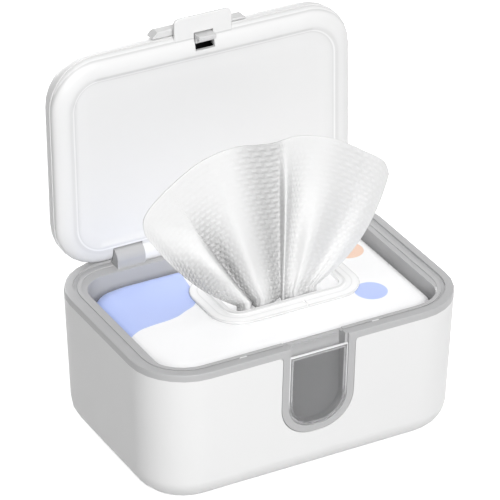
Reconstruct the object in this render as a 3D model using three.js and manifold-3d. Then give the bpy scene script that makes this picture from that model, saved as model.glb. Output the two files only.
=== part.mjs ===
// A baby wipe warmer with its lid open and a wipe drawn up out of its refill pack.
// Millimetres. X runs to the right, Y to the back and Z up. Inside the group, Z is
// measured from the underside of the casing and Y from the middle of the casing.
import * as THREE from 'three';
import { mergeVertices } from 'three/addons/utils/BufferGeometryUtils.js';
import Module from 'manifold-3d';

const wasm = await Module();
wasm.setup();

// Driving dimensions of the body
const body = {
  width: 220, depth: 152, corner: 36, height: 89.5, taper: 3.5,
  wall: 2.4, floor: 4.8, bottomRound: 15.8, innerRound: 12,
};
const fit = 0.3;
const overrun = 2;
const weld = 1e-4;
const cornerSteps = 7;
const roundSteps = 5;
const edgeSteps = 2;

// The hinge barrel stands over the back wall by the overhang; the rest are the ears round it
const hinge = {
  barrel: 7.2, clearance: 0.4, overhang: 0.2, rise: 1.9, sweepOver: 2.3,
  earStep: 7.6, earWidth: 19.3, earBefore: 1.1, earInset: 0.6, earOver: 1,
  blockDepth: 6.5, blockGap: 0.5, cutMargin: 0.5,
  pin: 1.5, pinClearance: 0.07, pinReach: 8, pinInset: 1.5,
};
const hingeY = body.depth / 2 + hinge.overhang - hinge.barrel;

// The lid reaches as far to the front as it does behind its hinge
const lidGap = { side: 6, hinge: 1.4, corner: 4.8, seat: 4.4 };
const lidHalf = hingeY + lidGap.hinge;

// The grey liner: the lip round the top, the ledge that the lid closes over, the tub
const tubGap = { side: 14, front: 5.7, hinge: 3.2 };
const liner = {
  lipHeight: 4.6, lipWidth: 5.5, lipRound: 1.1, wall: 1.9,
  ledgeDrop: 1.5, ledgeWidth: 5.2, slopeDrop: 0.5,
  skirtWall: 1.8, skirtDepth: 6,
  tubWidth: body.width - 2 * tubGap.side, tubFront: tubGap.front - lidHalf,
  tubBack: hingeY - hinge.barrel - hinge.clearance - tubGap.hinge, tubCorner: 19,
  draft: 2, floorTop: 22.4, floorRound: 7,
};
const lipTop = body.height + liner.lipHeight;
const ledgeTop = lipTop - liner.ledgeDrop;
const tubTop = ledgeTop - liner.slopeDrop;
const tubDepth = liner.tubBack - liner.tubFront;
const tubMiddle = (liner.tubBack + liner.tubFront) / 2;
const floorUnder = liner.floorTop - liner.wall;

// The front window: a U-shaped grey frame, a recess for the pane and a cavity behind it
const window_ = {
  halfWidth: 24.8, corner: 22, bottom: 30.5, frame: 4.6, shoulder: 1.8, flare: 2.2,
  paneDrop: 2.1, paneThickness: 1.5, faceStep: 0.5,
};
const paneTop = body.height - window_.paneDrop;

// The lid, drawn closed and then turned back about its hinge
const lid = {
  width: body.width - 2 * lidGap.side, depth: 2 * lidHalf,
  corner: body.corner - lidGap.corner, seatHeight: lipTop + lidGap.seat,
  wall: 2.2, sideHeight: 3, edgeRound: 12, crown: 1.4, openAngle: 92.1,
  rollDrop: 6.3, rollWidth: 12.5, crest: 1, slopeWidth: 3.8, trayDepth: 2.3,
  panelWall: 2, skirtWall: 1.8, skirtHeight: 2.6, seam: 0.4, crownShares: [0.35, 0.7],
};
const crestBottom = lid.seatHeight - lid.rollDrop;
const trayFloor = crestBottom + lid.trayDepth;
const lidTop = lid.seatHeight + lid.sideHeight + lid.edgeRound;

// The hinge along the back: two ears on the liner, one long barrel on the lid, two pins
const hingeZ = lipTop + hinge.rise;
const earOuter = body.width / 2 - body.corner - hinge.earStep;
const ear = {
  outer: earOuter, inner: earOuter - hinge.earWidth, front: hingeY - hinge.barrel - hinge.earBefore,
  back: hingeY + hinge.barrel - hinge.earInset, top: hingeZ + hinge.barrel + hinge.earOver,
  blockBack: body.depth / 2 - body.wall - hinge.blockGap,
};

// The latch: a thumb tab with a hole, and a sprung rocker whose hook hangs through the hole
const tab = {
  halfWidth: 19.8, reach: 12.3, drop: 4, thickness: 2.4, corner: 3.5, root: 8,
  holeGap: 0.8, holeFront: 1.2, holeBack: 10.3, edge: 0.5,
};
const rocker = {
  pivotInset: 6, pivotRise: 4, boss: 2.4, bossHalf: 7.4, turn: 6,
  barHalf: 32.7, barEnd: 4, barFront: 4.8, barGap: 0.6, barLow: 0.8, barHigh: 8.6, barRound: 1.2,
  barLip: 1.3, barStep: 16.5, barRamp: 4.5,
  webHalf: 12, webLow: 2.6, webHigh: 5.4, webBack: 1.2,
  stemHalf: 5.9, stemInset: 0, stemThickness: 2, tip: 9.8, nose: 1.4, noseHeight: 1,
  blockThickness: 6, blockDrop: 4.8,
  pin: 1, pinClearance: 0.08, pinOver: 0.7, webGap: 0.5, lugWidth: 2.8, lugHalf: 2.6,
  openingGap: 0.6, openingBelow: 1, openingAbove: 1.3,
};
const lugInner = rocker.webHalf + rocker.webGap;
const lugOuter = lugInner + rocker.lugWidth;
const latchPinHalf = lugOuter + rocker.pinOver;
const webOpening = {
  half: rocker.webHalf + rocker.openingGap,
  low: rocker.webLow - rocker.openingBelow, high: rocker.webHigh + rocker.openingAbove,
};
const catchRib = { height: 0.8, reach: 1.4, drop: 1.1, halfWidth: 16.5 };
const torsion = {
  wire: 0.7, mean: 2.2, turns: 4, start: 8.2, pitch: 0.8, leg: 5.2, frontLeg: 3.9, post: 1.6,
  stepsPerTurn: 8, sides: 5,
};

// What stands inside the tub: the heating plate, the refill pack, its collar and a wipe
const plateGap = { side: 1, end: 1.95 };
const plate = {
  width: liner.tubWidth - 2 * (liner.draft + liner.floorRound + plateGap.side),
  depth: tubDepth - 2 * (liner.draft + liner.floorRound + plateGap.end), corner: 12, thickness: 1.2,
};
const packGap = { side: 2.5, front: 4.4, back: 6.5, top: 3.1 };
const pack = {
  width: liner.tubWidth - 2 * packGap.side, depth: tubDepth - packGap.front - packGap.back,
  y: tubMiddle + (packGap.front - packGap.back) / 2, top: tubTop - packGap.top,
  corner: 15, shoulder: 5, shoulderWidth: 7, foot: 9,
  slotX: 4.6, slotWidth: 64, slotDepth: 27, slotSink: 4, slotCorner: 9,
};
const collar = {
  x: 11, y: 0.3, width: 103, depth: 61, corner: 20, height: 2.4, inner: 76.5, innerDepth: 38, innerCorner: 8,
  base: 1.5, round: 0.4, rise: 0.5, bead: 4.2, notch: 1.3, notchAt: 6.2, notchDepth: 6.5,
};
// The wipe, as it would stand if each pleat lay in one plane through the middle of the slot
const wipe = {
  thickness: 1.1, columnsPerPleat: 4, rows: 9, neckForward: 7, neckDrop: 2.6, reach: 100, pleat: 10,
  neckInside: 9.6, neckOutside: 1.6, bowLeft: 7.5, bowRight: 11,
};
// Its free edge, from its left corner to its right one, as shares of its reach to the right
// and up from the neck
const edgeShares = [
  [-0.805, 0.666], [-0.815, 0.766], [-0.748, 0.862], [-0.576, 0.99], [-0.404, 1.076], [-0.188, 1.106],
  [0.05, 1.071], [0.25, 1.074], [0.495, 0.991], [0.723, 0.845], [0.845, 0.751], [0.884, 0.651],
];
// Its pleats, from left to right: where each fold line stands as a share of the half width, how
// far it stands behind the middle as a share of the deepest pleat, and the share of the height
// where it has died away
const pleatShares = [-1, -0.88, -0.7, -0.64, -0.4, -0.08, 0.09, 0.15, 0.2, 0.46, 0.72, 0.88, 1];
const depthShares = [0.1, -0.5, -1, 0.55, -0.4, 0.55, -0.45, -0.8, 0.5, -0.4, 0.1, -0.25, 0];
const pleatEndShares = [1, 1, 0.75, 0.7, 0.9, 1.2, 1.2, 1.1, 0.95, 1, 1, 1, 1];
// Shares that a fold keeps at the neck and at the free edge, where it is deepest, and how far
// it lies to the right and lower for each millimetre that it stands back
const foldShares = { neck: 0.5, edge: 0.3, deepest: 0.35, across: 0.55, down: 0.65 };
// The bow of the two side edges, and the share of the height where it is widest
const bowShares = { left: 0.5, right: 0.4 };

// Under the tub: heating film, insulation, sensors and the supply
const footInset = 28;
const foot = {
  x: body.width / 2 - footInset, y: body.depth / 2 - footInset,
  radius: 6, height: 2.5, pocket: 1.6, round: 0.8, gap: 0.3,
};
const padGap = { side: 7, end: 6 };
const pad = {
  width: 2 * (foot.x - padGap.side), depth: 2 * (foot.y - padGap.end), corner: 6, thickness: 4.2,
  slotWidth: 34, slotDepth: 12, slotSide: 2.5, slotBack: 6,
};
const film = { edge: 1, corner: 6, thickness: 0.4 };
const sensor = { bead: 1.5, length: 5, fuse: 1.7, fuseLength: 13, spread: 9 };
const coverInset = { side: 30, end: 29 };
const cover = {
  width: body.width - 2 * coverInset.side, depth: body.depth - 2 * coverInset.end, corner: 12,
  thickness: 2, seat: 10, gap: 0.4, rib: 1.4, ribHeight: 1.6,
  ventX: -29.2, ventWidth: 1.6, ventPitch: 4.8, ventHalf: 20, vents: 5,
};
const screwInset = 6;
const screw = {
  x: cover.width / 2 - screwInset, y: cover.depth / 2 - screwInset,
  shank: 1.4, head: 2.7, headHeight: 1.5, length: 8.5, socket: 0.5, slotHalf: 0.7, boss: 3.4, bossTop: 13,
};
const post = { radius: 4, screw: 1.4, head: 2.6, headHeight: 1.2, length: 9, bore: 8.2 };
const board = {
  width: 62, depth: 40, sideGap: 9.2, backGap: 3.2, z: 9.4, thickness: 1.6, standoff: 2.4, holeInset: 5,
};
const boardX = (cover.width + cover.gap - board.width) / 2 - cover.seat - board.sideGap;
const boardY = (cover.depth + cover.gap - board.depth) / 2 - cover.seat - board.backGap;
const leadX = boardX - board.width / 4;
const padSlot = {
  x: leadX + pad.slotSide - pad.slotWidth / 2, y: boardY - board.depth / 2 + pad.slotBack,
};
// Each part on the board: its middle, width and depth as shares of the board, its height as a
// share of the standoffs
const boardPartShares = [
  [-0.3, 0.1, 0.24, 0.3, 0.5], [0.15, -0.15, 0.16, 0.25, 0.35], [0.32, 0.2, 0.14, 0.2, 0.6],
];
const inletSide = 14;
const inlet = {
  x: body.width / 2 - body.corner - inletSide, z: 30, body: 5.4, length: 10,
  flange: 7.2, flangeThickness: 1.4, bore: 3.2, boreDepth: 9, pin: 1, nut: 7, nutThickness: 2, round: 0.4,
};
const lead = { radius: 0.9, sides: 8, heaterSteps: 8, inletSteps: 20, rise: 3, turn: 2.8 };
const bumper = { spread: 45.5, x: -3, width: 4.8, depth: 1.5, height: 0.9, offset: 6.2 };
const gasket = { inset: 8.1, width: 2.6, height: 0.6 };
const lidPadGap = { side: 20, end: 22.4 };
const lidPad = {
  width: lid.width - 2 * lidPadGap.side, depth: lid.depth - 2 * lidPadGap.end, corner: 16, height: 7.5,
};

const facets = 24;
const smallFacets = 16;

// Geometry helpers
function ring({ width, depth, corner, z, y = 0, x = 0 }) {
  const points = [];
  const radius = Math.max(corner, fit);
  const centres = [[1, 1], [-1, 1], [-1, -1], [1, -1]];
  centres.forEach(([sx, sy], quarter) => {
    for (let i = 0; i <= cornerSteps; i++) {
      const angle = (quarter + i / cornerSteps) * Math.PI / 2;
      points.push(new THREE.Vector3(
        x + sx * (width / 2 - radius) + radius * Math.cos(angle),
        y + sy * (depth / 2 - radius) + radius * Math.sin(angle), z));
    }
  });
  return points;
}

// A rounded rectangle drawn in from an outline by an inset, at a height
function inset(outline, amount, z) {
  return ring({
    ...outline, z, width: outline.width - 2 * amount, depth: outline.depth - 2 * amount,
    corner: outline.corner - amount,
  });
}

const raise = (points, z) => points.map((p) => p.clone().setZ(z));

// A closed skin over rings, from the middle of the first to the middle of the last
function loft(rings) {
  const count = rings[0].length;
  const middle = (points) => points.reduce((sum, p) => sum.add(p), new THREE.Vector3())
    .divideScalar(points.length);
  const vertices = [...rings.flat(), middle(rings[0]), middle(rings[rings.length - 1])];
  const first = rings.length * count;
  const index = [];
  for (let i = 0; i < count; i++) {
    const next = (i + 1) % count;
    index.push(first, next, i);
    for (let r = 0; r + 1 < rings.length; r++) {
      const low = r * count;
      const high = low + count;
      index.push(low + i, low + next, high + next, low + i, high + next, high + i);
    }
    const last = (rings.length - 1) * count;
    index.push(first + 1, last + i, last + next);
  }
  const geometry = new THREE.BufferGeometry();
  geometry.setAttribute('position', new THREE.Float32BufferAttribute(
    vertices.flatMap((p) => [p.x, p.y, p.z]), 3));
  geometry.setIndex(index);
  return geometry;
}

// Closed meshes are joined and cut as manifold solids
function solid(geometry) {
  const plain = geometry.clone();
  plain.deleteAttribute('normal');
  plain.deleteAttribute('uv');
  const merged = mergeVertices(plain, weld);
  return new wasm.Manifold(new wasm.Mesh({
    numProp: 3,
    vertProperties: new Float32Array(merged.attributes.position.array),
    triVerts: new Uint32Array(merged.index.array),
  }));
}

function geometryOf(manifold) {
  const mesh = manifold.getMesh();
  const geometry = new THREE.BufferGeometry();
  geometry.setAttribute('position', new THREE.BufferAttribute(mesh.vertProperties, 3));
  geometry.setIndex(new THREE.BufferAttribute(mesh.triVerts, 1));
  return geometry;
}

const join = (...geometries) => geometries.map(solid).reduce((a, b) => a.add(b));
const cutFrom = (manifold, ...geometries) => geometries.map(solid)
  .reduce((a, b) => a.subtract(b), manifold);

function box([x0, x1], [y0, y1], [z0, z1]) {
  return new THREE.BoxGeometry(x1 - x0, y1 - y0, z1 - z0)
    .translate((x0 + x1) / 2, (y0 + y1) / 2, (z0 + z1) / 2);
}

// A cylinder along X, Y or Z between two places on that axis
function rod(axis, radius, from, to, [a, b], sides = facets) {
  const geometry = new THREE.CylinderGeometry(radius, radius, to - from, sides);
  if (axis === 'x') return geometry.rotateZ(Math.PI / 2).translate((from + to) / 2, a, b);
  if (axis === 'y') return geometry.translate(a, (from + to) / 2, b);
  return geometry.rotateX(Math.PI / 2).translate(a, b, (from + to) / 2);
}

// An outline in Y and Z pulled along X
function alongX(points, x0, x1) {
  const shape = points instanceof THREE.Shape ? points
    : new THREE.Shape(points.map(([y, z]) => new THREE.Vector2(y, z)));
  const geometry = new THREE.ExtrudeGeometry(shape, {
    depth: x1 - x0, bevelEnabled: false, curveSegments: facets / 2,
  });
  const turn = new THREE.Matrix4().set(0, 0, 1, x0, 1, 0, 0, 0, 0, 1, 0, 0, 0, 0, 0, 1);
  return geometry.applyMatrix4(turn);
}

// An outline in X and Z pulled along Y
function alongY(shape, y0, y1) {
  return new THREE.ExtrudeGeometry(shape, {
    depth: y1 - y0, bevelEnabled: false, curveSegments: facets / 2,
  }).rotateX(Math.PI / 2).translate(0, y1, 0);
}

// An outline in X and Y pulled up along Z
function alongZ(shape, z0, z1) {
  return new THREE.ExtrudeGeometry(shape, {
    depth: z1 - z0, bevelEnabled: false, curveSegments: cornerSteps,
  }).translate(0, 0, z0);
}

function plateOf(outline, z0, z1) {
  return loft([ring({ ...outline, z: z0 }), ring({ ...outline, z: z1 })]);
}

// A letter U, open at the top, with round lower corners, whose arms may flare out at a height
function letterU(halfWidth, corner, bottom, top, flare = 0, flareZ = top) {
  const shape = new THREE.Shape();
  const flaring = (side, i) => {
    const angle = (i / edgeSteps) * Math.PI / 2;
    shape.lineTo(side * (halfWidth + flare * (1 - Math.cos(angle))), flareZ + flare * Math.sin(angle));
  };
  shape.moveTo(halfWidth + flare, top);
  shape.lineTo(-halfWidth - flare, top);
  if (flare > 0) for (let i = edgeSteps; i >= 0; i--) flaring(-1, i);
  shape.lineTo(-halfWidth, bottom + corner);
  shape.absarc(-halfWidth + corner, bottom + corner, corner, Math.PI, 1.5 * Math.PI);
  shape.absarc(halfWidth - corner, bottom + corner, corner, 1.5 * Math.PI, 2 * Math.PI);
  if (flare > 0) for (let i = 0; i <= edgeSteps; i++) flaring(1, i);
  shape.closePath();
  return shape;
}

// The casing leans in towards its foot, and this leans a piece with its front face
function leanWithFront(geometry) {
  const share = body.taper / body.height;
  const lean = new THREE.Matrix4().set(1, 0, 0, 0, 0, 1, -share, body.taper, 0, 0, 1, 0, 0, 0, 0, 1);
  return geometry.applyMatrix4(lean);
}

// A round tube along a curve
function tube(points, radius, steps, sides) {
  const circle = new THREE.Shape();
  circle.absarc(0, 0, radius, 0, 2 * Math.PI);
  const path = new THREE.CatmullRomCurve3(points.map((p) => new THREE.Vector3(...p)));
  return new THREE.ExtrudeGeometry(circle, {
    steps, extrudePath: path, bevelEnabled: false, curveSegments: sides / 2,
  });
}

// Materials, one for each finish
const finish = (color, roughness, metalness = 0, opacity = 1) => () => new THREE.MeshStandardMaterial({
  color, roughness, metalness, opacity, transparent: opacity < 1,
});
const whiteShell = finish(0xf2f2f2, 0.35);
const greyLiner = finish(0xb9babb, 0.4);
const greyRubber = finish(0x9a9b9c, 0.7);
const whitePad = finish(0xf4f4f4, 0.6);
const smokedPane = finish(0x8c8e90, 0.1, 0, 0.45);
const steel = finish(0xb4b6b8, 0.3, 1);
const aluminium = finish(0xc9cbcd, 0.35, 1);
const foam = finish(0xd8d9d6, 0.9);
const amberFilm = finish(0xb07a2c, 0.35);
const greenBoard = finish(0x2f6b45, 0.5);
const blackPlastic = finish(0x222324, 0.4);
const leadSleeve = finish(0xb23a34, 0.5);
const packFilm = finish(0xfafafa, 0.3);
const collarPlastic = finish(0xfbfbfb, 0.3);
const wipeCloth = finish(0xf3f3f1, 0.95);

const group = new THREE.Group();
const openLid = new THREE.Group();

function add(parent, name, geometry, material) {
  const mesh = new THREE.Mesh(geometry, material());
  mesh.name = name;
  parent.add(mesh);
}

// Outlines that more than one piece follows
const bodyOutline = { width: body.width, depth: body.depth, corner: body.corner };
const lidOutline = {
  width: lid.width, depth: lid.depth, corner: lid.corner,
};
const taperAt = (z) => body.taper * (1 - z / body.height);
const bodyRing = (amount, z) => inset(bodyOutline, amount + taperAt(Math.min(z, body.height)), z);
const lidRing = (amount, z) => inset(lidOutline, amount, z);
const frontAt = (z) => -body.depth / 2 + taperAt(z);

// The casing's skin, which its window frame follows too
function roundedFoot(radius, wall, bottom) {
  const rings = [];
  for (let i = 0; i <= roundSteps; i++) {
    const angle = (i / roundSteps) * Math.PI / 2;
    const z = bottom + radius * (1 - Math.cos(angle));
    rings.push(bodyRing(wall + radius * (1 - Math.sin(angle)), z));
  }
  return rings;
}

function casingSkin() {
  return [...roundedFoot(body.bottomRound, 0, 0), bodyRing(0, body.height)];
}

function outerCasing() {
  const inside = roundedFoot(body.innerRound, body.wall, body.floor);
  let casing = solid(loft([...casingSkin(), bodyRing(body.wall, body.height), ...inside.reverse()]));
  const frame = leanWithFront(alongY(
    letterU(window_.halfWidth + fit, window_.corner, window_.bottom - fit, body.height + overrun,
      window_.flare, body.height - window_.flare),
    -body.depth, liner.tubFront));
  casing = cutFrom(casing, frame);
  const recess = { width: cover.width + cover.gap, depth: cover.depth + cover.gap, corner: cover.corner };
  const opening = inset(recess, cover.seat, 0);
  const hole = loft([opening, opening.map((p) => p.clone().setZ(body.floor + overrun))]);
  casing = cutFrom(casing,
    plateOf(recess, -overrun, cover.thickness + fit), hole.translate(0, 0, cover.thickness));
  for (const [x, y] of corners(screw.x, screw.y)) {
    casing = casing.add(solid(
      rod('z', screw.boss, cover.thickness + 2 * fit, screw.bossTop, [x, y], smallFacets)));
    casing = cutFrom(casing,
      rod('z', screw.shank + fit / 2, -overrun, screw.length + fit, [x, y], smallFacets));
  }
  for (const [x, y] of corners(foot.x, foot.y)) {
    casing = cutFrom(casing,
      rod('z', foot.radius + foot.gap, -overrun, foot.pocket, [x, y]),
      rod('z', post.head + fit, -overrun, foot.pocket + post.headHeight + fit, [x, y], smallFacets),
      rod('z', post.screw + fit, -overrun, body.floor + overrun, [x, y], smallFacets));
  }
  const wallY = body.depth / 2;
  casing = cutFrom(casing, rod('y', inlet.body + fit, wallY - body.wall - body.taper - overrun,
    wallY + overrun, [inlet.x, inlet.z]));
  return geometryOf(casing);
}

const corners = (x, y) => [[x, y], [-x, y], [-x, -y], [x, -y]];

// The tub's rings: its inside at a height, or its outside with the wall added
function tubRing(z, grow, amount = 0) {
  const drop = liner.draft * (tubTop - z) / (tubTop - liner.floorTop);
  const outline = {
    width: liner.tubWidth + 2 * grow, depth: tubDepth + 2 * grow,
    corner: liner.tubCorner + grow, y: tubMiddle,
  };
  return inset(outline, drop + amount, z);
}

function tubFloor(radius, grow, bottom) {
  const rings = [];
  for (let i = 0; i <= roundSteps; i++) {
    const angle = (i / roundSteps) * Math.PI / 2;
    rings.push(tubRing(bottom + radius * (1 - Math.cos(angle)), grow, radius * (1 - Math.sin(angle))));
  }
  return rings;
}

function hingeEar(side) {
  const radius = (ear.back - ear.front) / 2;
  const shape = new THREE.Shape();
  shape.moveTo(ear.front, tubTop - hinge.blockDepth);
  shape.lineTo(ear.blockBack, tubTop - hinge.blockDepth);
  shape.lineTo(ear.blockBack, body.height);
  shape.lineTo(ear.back, body.height);
  shape.absarc(ear.front + radius, ear.top - radius, radius, 0, Math.PI);
  shape.closePath();
  const [from, to] = side > 0 ? [ear.inner, ear.outer] : [-ear.outer, -ear.inner];
  return alongX(shape, from, to);
}

function innerLiner() {
  const lipEdge = [];
  for (let i = 0; i <= edgeSteps; i++) {
    const angle = (i / edgeSteps) * Math.PI / 2;
    lipEdge.push(bodyRing(liner.lipRound * (1 - Math.cos(angle)),
      lipTop - liner.lipRound * (1 - Math.sin(angle))));
  }
  const underLedge = tubTop - liner.wall;
  const skirtOuter = body.wall + fit;
  const skirtInner = skirtOuter + liner.skirtWall;
  const skirtFoot = body.height - liner.skirtDepth;
  const rings = [
    ...tubFloor(liner.floorRound + liner.wall, liner.wall, floorUnder),
    tubRing(underLedge, liner.wall),
    bodyRing(skirtInner, underLedge),
    bodyRing(skirtInner, skirtFoot), bodyRing(skirtOuter, skirtFoot),
    bodyRing(skirtOuter, body.height), bodyRing(0, body.height),
    ...lipEdge,
    bodyRing(liner.lipWidth, lipTop), bodyRing(liner.lipWidth, ledgeTop),
    bodyRing(liner.lipWidth + liner.ledgeWidth, ledgeTop),
    tubRing(tubTop, 0),
    ...tubFloor(liner.floorRound, 0, liner.floorTop).reverse(),
  ];
  let shell = solid(loft(rings));

  const hingeBlock = box([-ear.outer, ear.outer],
    [liner.tubBack + liner.wall / 2, ear.blockBack], [tubTop - hinge.blockDepth, body.height]);
  shell = shell.add(join(hingeBlock, hingeEar(1), hingeEar(-1)));
  const troughRadius = hinge.barrel + hinge.clearance;
  const trough = rod('x', troughRadius, -ear.inner, ear.inner, [hingeY, hingeZ], facets * 2);
  const aboveTrough = box([-ear.inner, ear.inner],
    [hingeY - troughRadius, hingeY + troughRadius], [hingeZ, hingeZ + troughRadius]);
  shell = cutFrom(shell, trough, aboveTrough);
  shell = cutFrom(shell, rod('x', hinge.pin + hinge.pinClearance,
    -ear.outer - overrun, ear.outer + overrun, [hingeY, hingeZ], smallFacets));

  const frameBlock = solid(leanWithFront(alongY(
    letterU(window_.halfWidth, window_.corner, window_.bottom, tubTop,
      window_.flare + fit, body.height - window_.flare),
    -body.depth / 2 - overrun, liner.tubFront - liner.wall / 2)));
  const skin = solid(loft([
    bodyRing(body.bottomRound, 0), bodyRing(0, 0), bodyRing(0, body.height), bodyRing(0, lipTop),
  ]));
  shell = shell.add(frameBlock.intersect(skin));
  const seat = window_.faceStep + window_.paneThickness;
  const recess = leanWithFront(alongY(
    letterU(window_.halfWidth - window_.frame, window_.corner - window_.frame,
      window_.bottom + window_.frame, lipTop + overrun),
    -body.depth / 2 - overrun, -body.depth / 2 + seat));
  const cavityHalf = window_.halfWidth - window_.frame - window_.shoulder;
  const cavity = leanWithFront(alongY(
    letterU(cavityHalf, window_.corner - window_.frame - window_.shoulder,
      window_.bottom + window_.frame + window_.shoulder, lipTop + overrun),
    -body.depth / 2, -body.depth / 2 + seat + overrun));
  const wallFace = liner.tubFront - liner.wall;
  const deepCavity = alongY(
    letterU(cavityHalf, window_.corner - window_.frame - window_.shoulder,
      window_.bottom + window_.frame + window_.shoulder, lipTop + overrun),
    -body.depth / 2 + seat + overrun / 2, wallFace);
  shell = cutFrom(shell, recess, cavity, deepCavity);
  const ribTop = tubTop - catchRib.drop;
  shell = shell.add(solid(box([-catchRib.halfWidth, catchRib.halfWidth],
    [wallFace - catchRib.reach, wallFace + fit], [ribTop - catchRib.height, ribTop])));

  for (const [x, y] of corners(foot.x, foot.y)) {
    shell = shell.add(solid(
      rod('z', post.radius, body.floor + fit, floorUnder + liner.wall / 2, [x, y], smallFacets)));
    shell = cutFrom(shell, rod('z', post.screw, 0, body.floor + post.bore, [x, y], smallFacets));
  }
  return geometryOf(shell);
}

function windowPane() {
  const gap = fit / 2;
  const shape = letterU(window_.halfWidth - window_.frame - gap, window_.corner - window_.frame - gap,
    window_.bottom + window_.frame + gap, paneTop);
  return leanWithFront(alongY(shape, -body.depth / 2 + window_.faceStep,
    -body.depth / 2 + window_.faceStep + window_.paneThickness));
}

// One half of the ledge's gasket: it stops short of the window notch and the hinge ears
function rimGasket(side) {
  const outer = inset(bodyOutline, gasket.inset, 0);
  const innerEdge = inset(bodyOutline, gasket.inset + gasket.width, 0);
  const top = ledgeTop + gasket.height;
  const band = solid(loft([raise(outer, ledgeTop), raise(outer, top)]))
    .subtract(solid(loft([raise(innerEdge, ledgeTop - overrun), raise(innerEdge, top + overrun)])));
  const frontGap = window_.halfWidth - window_.frame + fit;
  const backGap = ear.outer + 2 * fit;
  const half = side > 0 ? [-body.width, 0] : [0, body.width];
  const cut = cutFrom(band,
    box(half, [-body.depth, body.depth], [0, lidTop]),
    box([-frontGap, frontGap], [-body.depth, 0], [0, lidTop]),
    box([-backGap, backGap], [0, body.depth], [0, lidTop]));
  return geometryOf(cut);
}

function lidShell() {
  const outside = [lidRing(0, lid.seatHeight), lidRing(0, lid.seatHeight + lid.sideHeight)];
  const inside = [lidRing(lid.wall, lid.seatHeight), lidRing(lid.wall, lid.seatHeight + lid.sideHeight)];
  const innerEdge = lid.edgeRound - lid.wall;
  for (let i = 1; i <= roundSteps + 1; i++) {
    const angle = (i / (roundSteps + 1)) * Math.PI / 2;
    const rise = (radius) => lid.seatHeight + lid.sideHeight + radius * Math.sin(angle);
    outside.push(lidRing(lid.edgeRound * (1 - Math.cos(angle)), rise(lid.edgeRound)));
    inside.push(lidRing(lid.wall + innerEdge * (1 - Math.cos(angle)), rise(innerEdge)));
  }
  for (const share of lid.crownShares) {
    const reach = lid.edgeRound + share * (lid.depth / 2 - lid.edgeRound - lid.wall);
    const rise = lid.crown * Math.sin(share * Math.PI / 2);
    outside.push(lidRing(reach, lidTop + rise));
    inside.push(lidRing(reach, lidTop - lid.wall + rise));
  }
  let shell = solid(loft([...inside.reverse(), ...outside]));
  shell = cutFrom(shell, barrel(hinge.barrel + fit), earSweep(1), earSweep(-1));
  const opening = box([-webOpening.half, webOpening.half],
    [-lid.depth / 2 - overrun, -lid.depth / 2 + lid.edgeRound],
    [lid.seatHeight + webOpening.low, lid.seatHeight + webOpening.high]);
  const stemRoom = rocker.stemHalf + 2 * fit;
  const stemSlot = box([-stemRoom, stemRoom], [-lid.depth / 2 - overrun, -lid.depth / 2 + lid.edgeRound],
    [lid.seatHeight - overrun, lid.seatHeight + webOpening.high]);
  return geometryOf(cutFrom(shell, opening, stemSlot));
}

const barrel = (radius) => rod('x', radius, -ear.inner + hinge.clearance,
  ear.inner - hinge.clearance, [hingeY, hingeZ], facets * 2);

// The room that an ear takes in the lid as the lid turns round it
function earSweep(side) {
  const inner = ear.inner - hinge.clearance;
  const outer = ear.outer + hinge.cutMargin;
  const [from, to] = side > 0 ? [inner, outer] : [-outer, -inner];
  return rod('x', hinge.barrel + hinge.sweepOver, from, to, [hingeY, hingeZ], facets * 2);
}

const lidFront = -lid.depth / 2;
const pivotY = lidFront + rocker.pivotInset;
const pivotZ = lid.seatHeight + rocker.pivotRise;

function thumbTab() {
  const shape = new THREE.Shape();
  const front = lidFront - tab.reach;
  const back = lidFront + tab.root;
  shape.moveTo(tab.halfWidth, back);
  shape.lineTo(-tab.halfWidth, back);
  shape.lineTo(-tab.halfWidth, front + tab.corner);
  shape.absarc(-tab.halfWidth + tab.corner, front + tab.corner, tab.corner, Math.PI, 1.5 * Math.PI);
  shape.absarc(tab.halfWidth - tab.corner, front + tab.corner, tab.corner, 1.5 * Math.PI, 2 * Math.PI);
  shape.closePath();
  const low = lid.seatHeight - tab.drop;
  const geometry = new THREE.ExtrudeGeometry(shape, {
    depth: tab.thickness - 2 * tab.edge, bevelEnabled: true, bevelThickness: tab.edge,
    bevelSize: tab.edge, bevelOffset: -tab.edge, bevelSegments: 1, curveSegments: cornerSteps,
  });
  return geometry.translate(0, 0, low + tab.edge);
}

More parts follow.
